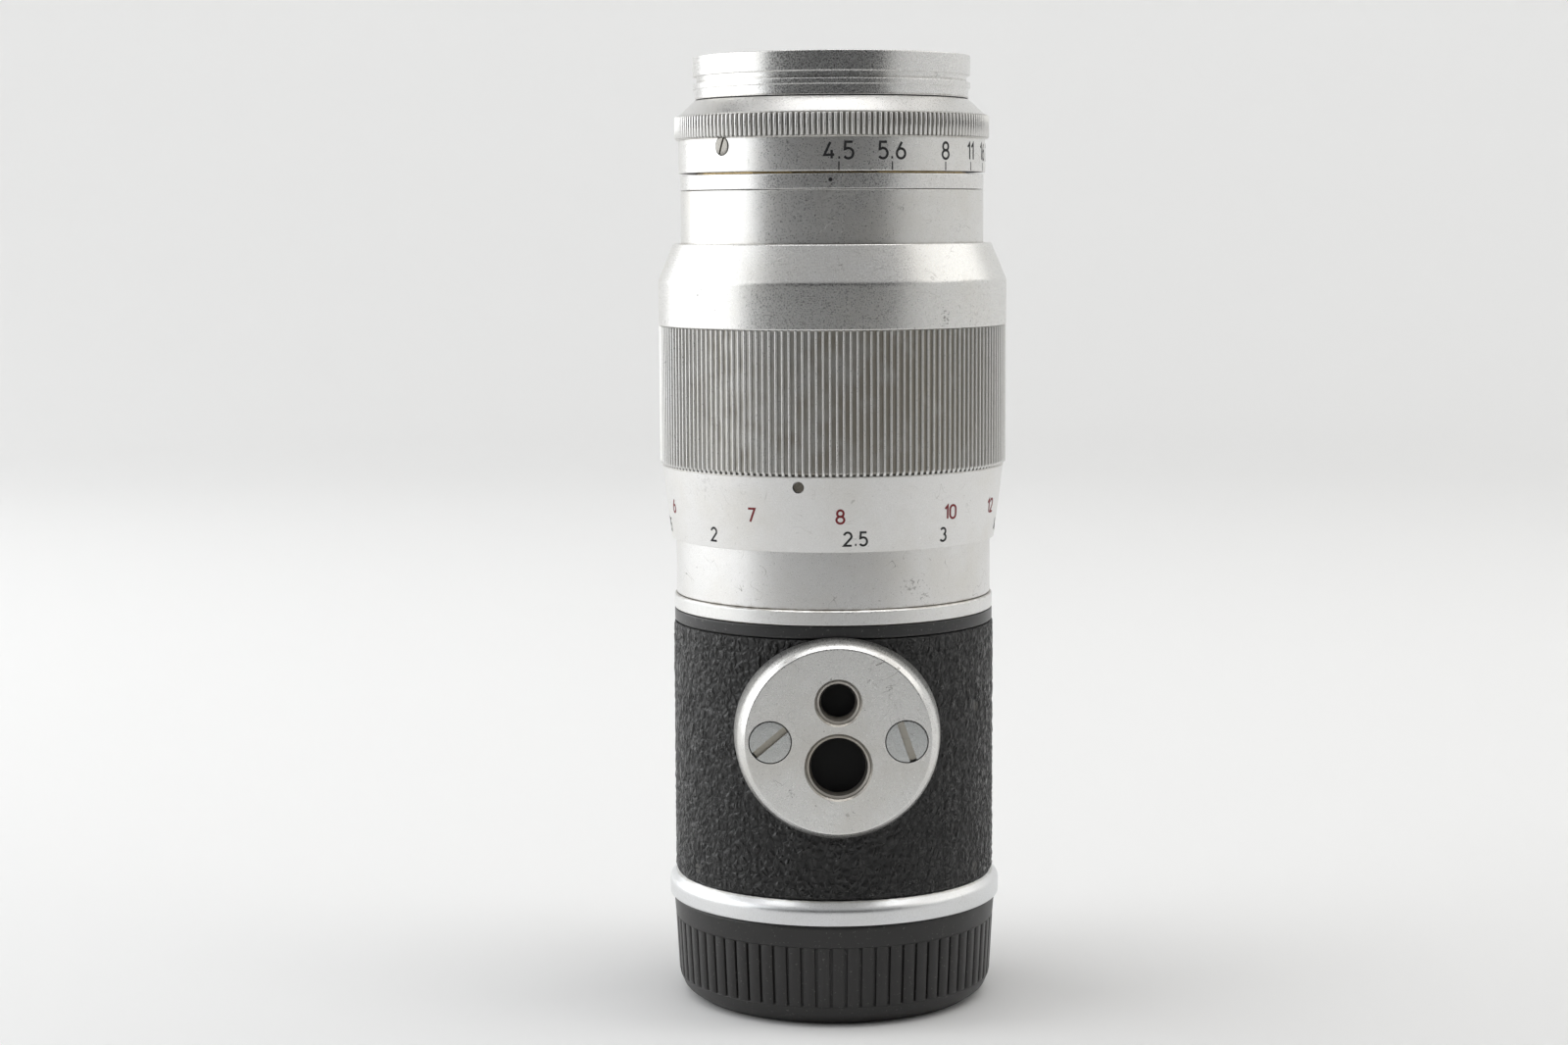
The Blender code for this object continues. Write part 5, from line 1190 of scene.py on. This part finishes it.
for index in range(3):
    hole = dished("grub_hole", [(0.0, 1.0), (0.86, 1.0), (0.86, -1.2), (0.0, -1.2)], skirt_chrome, 0.02, 32)
    grub_holes.append(lay_out(hole, GRUB_AZIMUTH + 120 * index, grub_height, grub_reach))
carve(skirt, *grub_holes)
settle(skirt, "focus", "chrome", "distance_scale_ring")
for index in range(3):
    grub = slotted_head(f"grub_screw_{index + 1}_head", 0.76, 0.3, 0.0, 0.24, 0.22, 35 + 70 * index,
                        dark_grub, 32)
    lay_out(grub, GRUB_AZIMUTH + 120 * index, grub_height, grub_reach - 0.3)
    settle(grub, "focus", "screw_steel", f"grub_screw_{index + 1}")
feet_strokes = []
for text in FEET:
    feet_strokes += numeral_strokes(text, focus_azimuth(float(text) * MM_PER_FOOT), FEET_HEIGHT,
                                    SCALE_NUMERAL, skirt_radius(FEET_HEIGHT))
metre_strokes = numeral_strokes("o", INDEX_AZIMUTH, INFINITY_HEIGHT, INFINITY_SIZE,
                                skirt_radius(INFINITY_HEIGHT))
for text in METRES:
    metre_strokes += numeral_strokes(text, focus_azimuth(float(text) * MM_PER_METRE), METRES_HEIGHT,
                                     SCALE_NUMERAL, skirt_radius(METRES_HEIGHT))
settle(wrap_marks("feet_scale", feet_strokes, 0.33, engraving_red, skirt_radius), "focus", "red_enamel")
settle(wrap_marks("metre_scale", metre_strokes, 0.32, engraving_black, skirt_radius), "focus",
       "black_lacquer")

# ============================================================ head barrel
# Chromed barrel that carries the optics forward without turning. Only its upper part shows above the focus
# ring until the lens is focused close.
BARREL_SHOULDER = 123.6
BARREL_SEAT_RADIUS = 21.9
barrel_low, barrel_high, barrel_wide = extent("head_barrel")
head_chrome = chrome("head_chrome", 0.32, (0.76, 0.755, 0.74), ageing=0.4, hairlines=0.7, scuffs=(
    (25.0, 23.0, 121.0, 1.8, 1500.0, 0.45),), grimes=((123.7, 0.25, 0.6), (115.7, 0.4, 0.4)))
head_barrel = lathe("head_barrel_chrome", [
    (BARREL_SEAT_RADIUS, barrel_high), (BARREL_SEAT_RADIUS, BARREL_SHOULDER),
    (barrel_wide, BARREL_SHOULDER, 0.12), (barrel_wide, barrel_low), (19.35, barrel_low),
    (19.35, barrel_low + 2.5), (20.8, barrel_low + 2.5), (20.8, barrel_high)], head_chrome)
settle(head_barrel, "head", "chrome", "head_barrel")

# ============================================================ index ring
# Narrow chromed ring with the black dot that the aperture is read against. It sits on the top of the head
# barrel and stays still while the aperture ring turns above it.
DOT_AZIMUTH = -1.9
dot_foot, dot_top, dot_radius = extent("index_ring")
index_chrome = chrome("index_chrome", 0.30, (0.80, 0.795, 0.785), ageing=0.25,
                      grimes=((dot_top + 0.15, 0.25, 0.6),))
index_ring = lathe("index_ring_chrome", [(dot_radius, dot_top, 0.18), (dot_radius, dot_foot - 0.22, 0.12),
                                         (22.2, dot_foot), (22.2, dot_top)], index_chrome)
settle(index_ring, "head", "chrome", "index_ring")
dot_across = radians(DOT_AZIMUTH) * dot_radius
dot_centre = (dot_foot + dot_top) / 2 + 0.1
dot = [(dot_across + x, dot_centre + y) for x, y in bow(0.0, 0.0, 0.15, 0.15, 0, 360, 16)]
settle(wrap_marks("index_dot", [dot], 0.3, engraving_black, lambda z: dot_radius), "head", "black_lacquer")

# ============================================================ aperture ring
# Chromed ring that turns on the head: an engraved scale band, a knurled grip and a cone that meets the rim.
# One slotted screw stops its travel.
APERTURE_RIBS = 182
STOPS = (("4.5", 1.1), ("5.6", 20.7), ("8", 44.3), ("11", 60.8), ("16", 74.5), ("22", 86.8), ("32", 99.1))
STOP_HEIGHT = 129.2
STOP_NUMERAL = 2.36
STOP_SCREW_AZIMUTH = -45.0
APERTURE_BORE = 20.7
scale_foot, cone_top, knurl_radius = extent("aperture_ring")
scale_radius = 23.26
scale_top = 131.2
knurl_top = 134.85
scale_chrome = chrome("scale_chrome", 0.32, (0.79, 0.785, 0.77), ageing=0.35, hairlines=0.5,
                      grimes=((scale_foot - 0.1, 0.25, 0.6), (scale_top, 0.3, 0.35)))
knurl_chrome = grip_finish("knurl_chrome", (0.78, 0.775, 0.76), 60.0, 0.45)
aperture_body = lathe("aperture_body", [
    (APERTURE_BORE, cone_top, 0.12), (scale_radius, knurl_top + 0.02, 0.1),
    (knurl_radius - 0.1, knurl_top - 0.15, 0.06), (knurl_radius - 0.42, knurl_top - 0.3, 0.05),
    (knurl_radius - 0.42, scale_top + 0.3, 0.05), (knurl_radius - 0.1, scale_top + 0.1, 0.06),
    (scale_radius, scale_top, 0.05), (scale_radius, scale_foot, 0.15), (APERTURE_BORE, scale_foot),
    (APERTURE_BORE, scale_top + 0.3), (19.4, scale_top + 0.3), (19.4, cone_top)], scale_chrome)
stop_screw_height = scale_top - 1.2
stop_hole = dished("stop_screw_hole", [(0.0, 1.0), (1.42, 1.0), (1.42, -0.9), (0.0, -0.9)], scale_chrome,
                   0.02, 40)
carve(aperture_body, lay_out(stop_hole, STOP_SCREW_AZIMUTH, stop_screw_height, scale_radius))
mark_grooves(aperture_body, knurl_radius - 0.42, knurl_radius - 0.2)
aperture_body.data.materials.append(knurl_chrome)
for face in aperture_body.data.polygons:
    if scale_top + 0.12 < face.center.z / MM < knurl_top - 0.2:
        face.material_index = 1
knurl_rib = rib_mesh("knurl_rib", [(scale_top + 0.05, knurl_radius - 0.4), (scale_top + 0.3, knurl_radius),
                                   (knurl_top - 0.3, knurl_radius), (knurl_top - 0.03, knurl_radius - 0.35)],
                     knurl_radius - 0.5, 0.54, 0.46, 0.13)
knurl_ribs = repeat_round("knurl_ribs", knurl_rib, APERTURE_RIBS, knurl_chrome)
mark_grooves(knurl_ribs, knurl_radius - 0.42, knurl_radius - 0.06)
aperture_ring = join("aperture_ring_chrome", aperture_body, knurl_ribs)
settle(aperture_ring, "aperture", "chrome", "aperture_ring")
stop_strokes = []
tick_strokes = []
for text, azimuth in STOPS:
    stop_strokes += numeral_strokes(text, azimuth, STOP_HEIGHT, STOP_NUMERAL, scale_radius)
    across = radians(azimuth) * scale_radius
    tick_strokes.append([(across, scale_foot + 0.12), (across, scale_foot + 1.35)])
settle(wrap_marks("aperture_numbers", stop_strokes, 0.36, engraving_black, lambda z: scale_radius),
       "aperture", "black_lacquer")
settle(wrap_marks("aperture_ticks", tick_strokes, 0.2, engraving_black, lambda z: scale_radius),
       "aperture", "black_lacquer")
stop_steel = chrome("stop_screw_steel", 0.22, (0.26, 0.25, 0.23), ageing=0.7, hairlines=0.6)
stop_screw = slotted_head("aperture_stop_screw_head", 1.3, 0.5, 0.08, 0.34, 0.32, 70, stop_steel, 40)
lay_out(stop_screw, STOP_SCREW_AZIMUTH, stop_screw_height, scale_radius + 0.08)
settle(stop_screw, "aperture", "screw_steel", "aperture_stop_screw")

# ============================================================ iris
# Ten thin blued steel blades between the housing and the cam ring, each on its own pivot. Their solids have
# the right shape, so they only get their finish.
blued = chrome("blued_blade_steel", 0.38, (0.075, 0.075, 0.085), ageing=0.2, hairlines=0.6, metallic=0.9)
for number in range(1, 11):
    blade_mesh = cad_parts[f"iris_blade_{number:02d}"].data
    blade_mesh.materials.clear()
    blade_mesh.materials.append(blued)

# ============================================================ cells and glass
# Blackened cells with fine anti-reflection turning, and the glass they hold. Every element is coated, which
# tints its reflections violet.
CELL_STEPS = 6
CELL_STEP_FOOT = 134.1
FRONT_BORE = 15.65
CROWN_STEPS = 8
coated_glass, _, glass_shader = paint("coated_glass", (1.0, 1.0, 1.0), 0.0)
glass_shader.inputs["Transmission Weight"].default_value = 1.0
glass_shader.inputs["IOR"].default_value = 1.62
glass_shader.inputs["Specular Tint"].default_value = (0.30, 0.25, 0.46, 1.0)
cell_foot, cell_top, cell_radius = extent("front_cell")
cell_outline = [(cell_radius, cell_top, 0.12), (cell_radius, cell_foot), (FRONT_BORE - 1.0, cell_foot),
                (FRONT_BORE - 1.0, cell_foot + 1.0), (FRONT_BORE, cell_foot + 1.0),
                (FRONT_BORE, CELL_STEP_FOOT)]
for step in range(CELL_STEPS):
    level = CELL_STEP_FOOT + (cell_top - CELL_STEP_FOOT) * step / CELL_STEPS
    cell_outline += [(FRONT_BORE + 0.18, level + 0.04, 0.02), (FRONT_BORE + 0.18, level + 0.5, 0.02)]
cell_outline.append((FRONT_BORE + 0.3, cell_top, 0.1))
front_cell = lathe("front_cell_black", cell_outline, blackened, 0.05)
settle(front_cell, "head", "blackened_aluminium", "front_cell")


def lens_element(node, upper_crown, lower_crown):
    """A glass element with its crowns, which are positive where the surface bulges out, at its CAD place."""
    foot, top, radius = extent(node)
    edge_foot = foot + max(lower_crown, 0.0)
    edge_top = top - max(upper_crown, 0.0)
    shares = [step / CROWN_STEPS for step in range(1, CROWN_STEPS)]
    profile = [(0.0, edge_top + upper_crown)]
    profile += [(radius * share, edge_top + upper_crown * (1 - share ** 2)) for share in shares]
    profile += [(radius, edge_top), (radius, edge_foot)]
    profile += [(radius * share, edge_foot - lower_crown * (1 - share ** 2)) for share in reversed(shares)]
    profile.append((0.0, edge_foot - lower_crown))
    element = dished(node + "_glass", profile, coated_glass, 0.05, 96)
    settle(element, "head", "glass", node)


lens_element("front_element", 2.6, -0.6)
lens_element("doublet_front_element", -0.5, 0.8)
lens_element("doublet_rear_element", -0.8, -0.9)
lens_element("rear_element", 1.6, 0.4)
retainer_foot, retainer_top, retainer_radius = extent("front_retaining_ring")
retainer = lathe("front_retaining_ring_black", [
    (retainer_radius, retainer_top, 0.1), (retainer_radius, retainer_foot),
    (retainer_radius - 0.9, retainer_foot), (retainer_radius - 0.9, retainer_top)], blackened, 0.08)
settle(retainer, "head", "blackened_aluminium", "front_retaining_ring")

# ============================================================ front rim
# Chromed rim with a groove round it for a clip-on hood. Inside, a fine thread takes a screw-in filter.
FILTER_PITCH = 0.75
FILTER_RADIUS = 19.3
THREAD_FOOT = 138.9
HOOD_GROOVE_RADIUS = 20.43
HOOD_GROOVE_FOOT, HOOD_GROOVE_TOP = 139.65, 140.7
RIM_FOOT_RADIUS = 20.7
RIM_STEP = 138.8
RIM_BORE = 18.0
RIM_SEAT = 138.45
rim_foot, rim_top, rim_radius = extent("front_rim")
rim_chrome = chrome("rim_chrome", 0.27, (0.80, 0.795, 0.785), ageing=0.25, hairlines=0.6,
                    grimes=((139.9, 0.25, 0.4), (rim_foot, 0.2, 0.5)))
rim_outline = [
    (rim_radius, rim_top, 0.16), (rim_radius, HOOD_GROOVE_TOP, 0.1),
    (HOOD_GROOVE_RADIUS, HOOD_GROOVE_TOP, 0.04), (HOOD_GROOVE_RADIUS, HOOD_GROOVE_FOOT, 0.04),
    (rim_radius, HOOD_GROOVE_FOOT, 0.1), (rim_radius, RIM_STEP, 0.08), (RIM_FOOT_RADIUS, RIM_STEP, 0.04),
    (RIM_FOOT_RADIUS, rim_foot - 0.16, 0.1), (RIM_BORE, rim_foot), (RIM_BORE, RIM_SEAT),
    (FILTER_RADIUS + 0.3, RIM_SEAT, 0.02)]
thread_level = THREAD_FOOT
while thread_level + FILTER_PITCH < rim_top - 0.5:
    rim_outline += [(FILTER_RADIUS + 0.45, thread_level, 0.02),
                    (FILTER_RADIUS, thread_level + FILTER_PITCH / 2, 0.02)]
    thread_level += FILTER_PITCH
rim_outline += [(FILTER_RADIUS + 0.3, thread_level, 0.02), (FILTER_RADIUS + 0.15, rim_top, 0.1)]
front_rim = lathe("front_rim_chrome", rim_outline, rim_chrome, 0.1)
settle(front_rim, "head", "chrome", "front_rim")

# ============================================================ alignment bead
# Small dome of red enamel behind the flange that shows which way round the lens goes into the camera.
enamel = paint("red_enamel", (0.55, 0.02, 0.015), 0.18)[0]
bead_height = leather_foot + 2.6
bead = dished("alignment_bead_dome", [
    (0.0, 0.65), (0.5, 0.6), (0.95, 0.42), (1.22, 0.18), (1.3, -0.1), (1.3, -1.2), (0.0, -1.2)],
    enamel, 0.15, 40)
settle(lay_out(bead, 180.0, bead_height, leather_radius), "mount", "red_enamel", "alignment_bead")
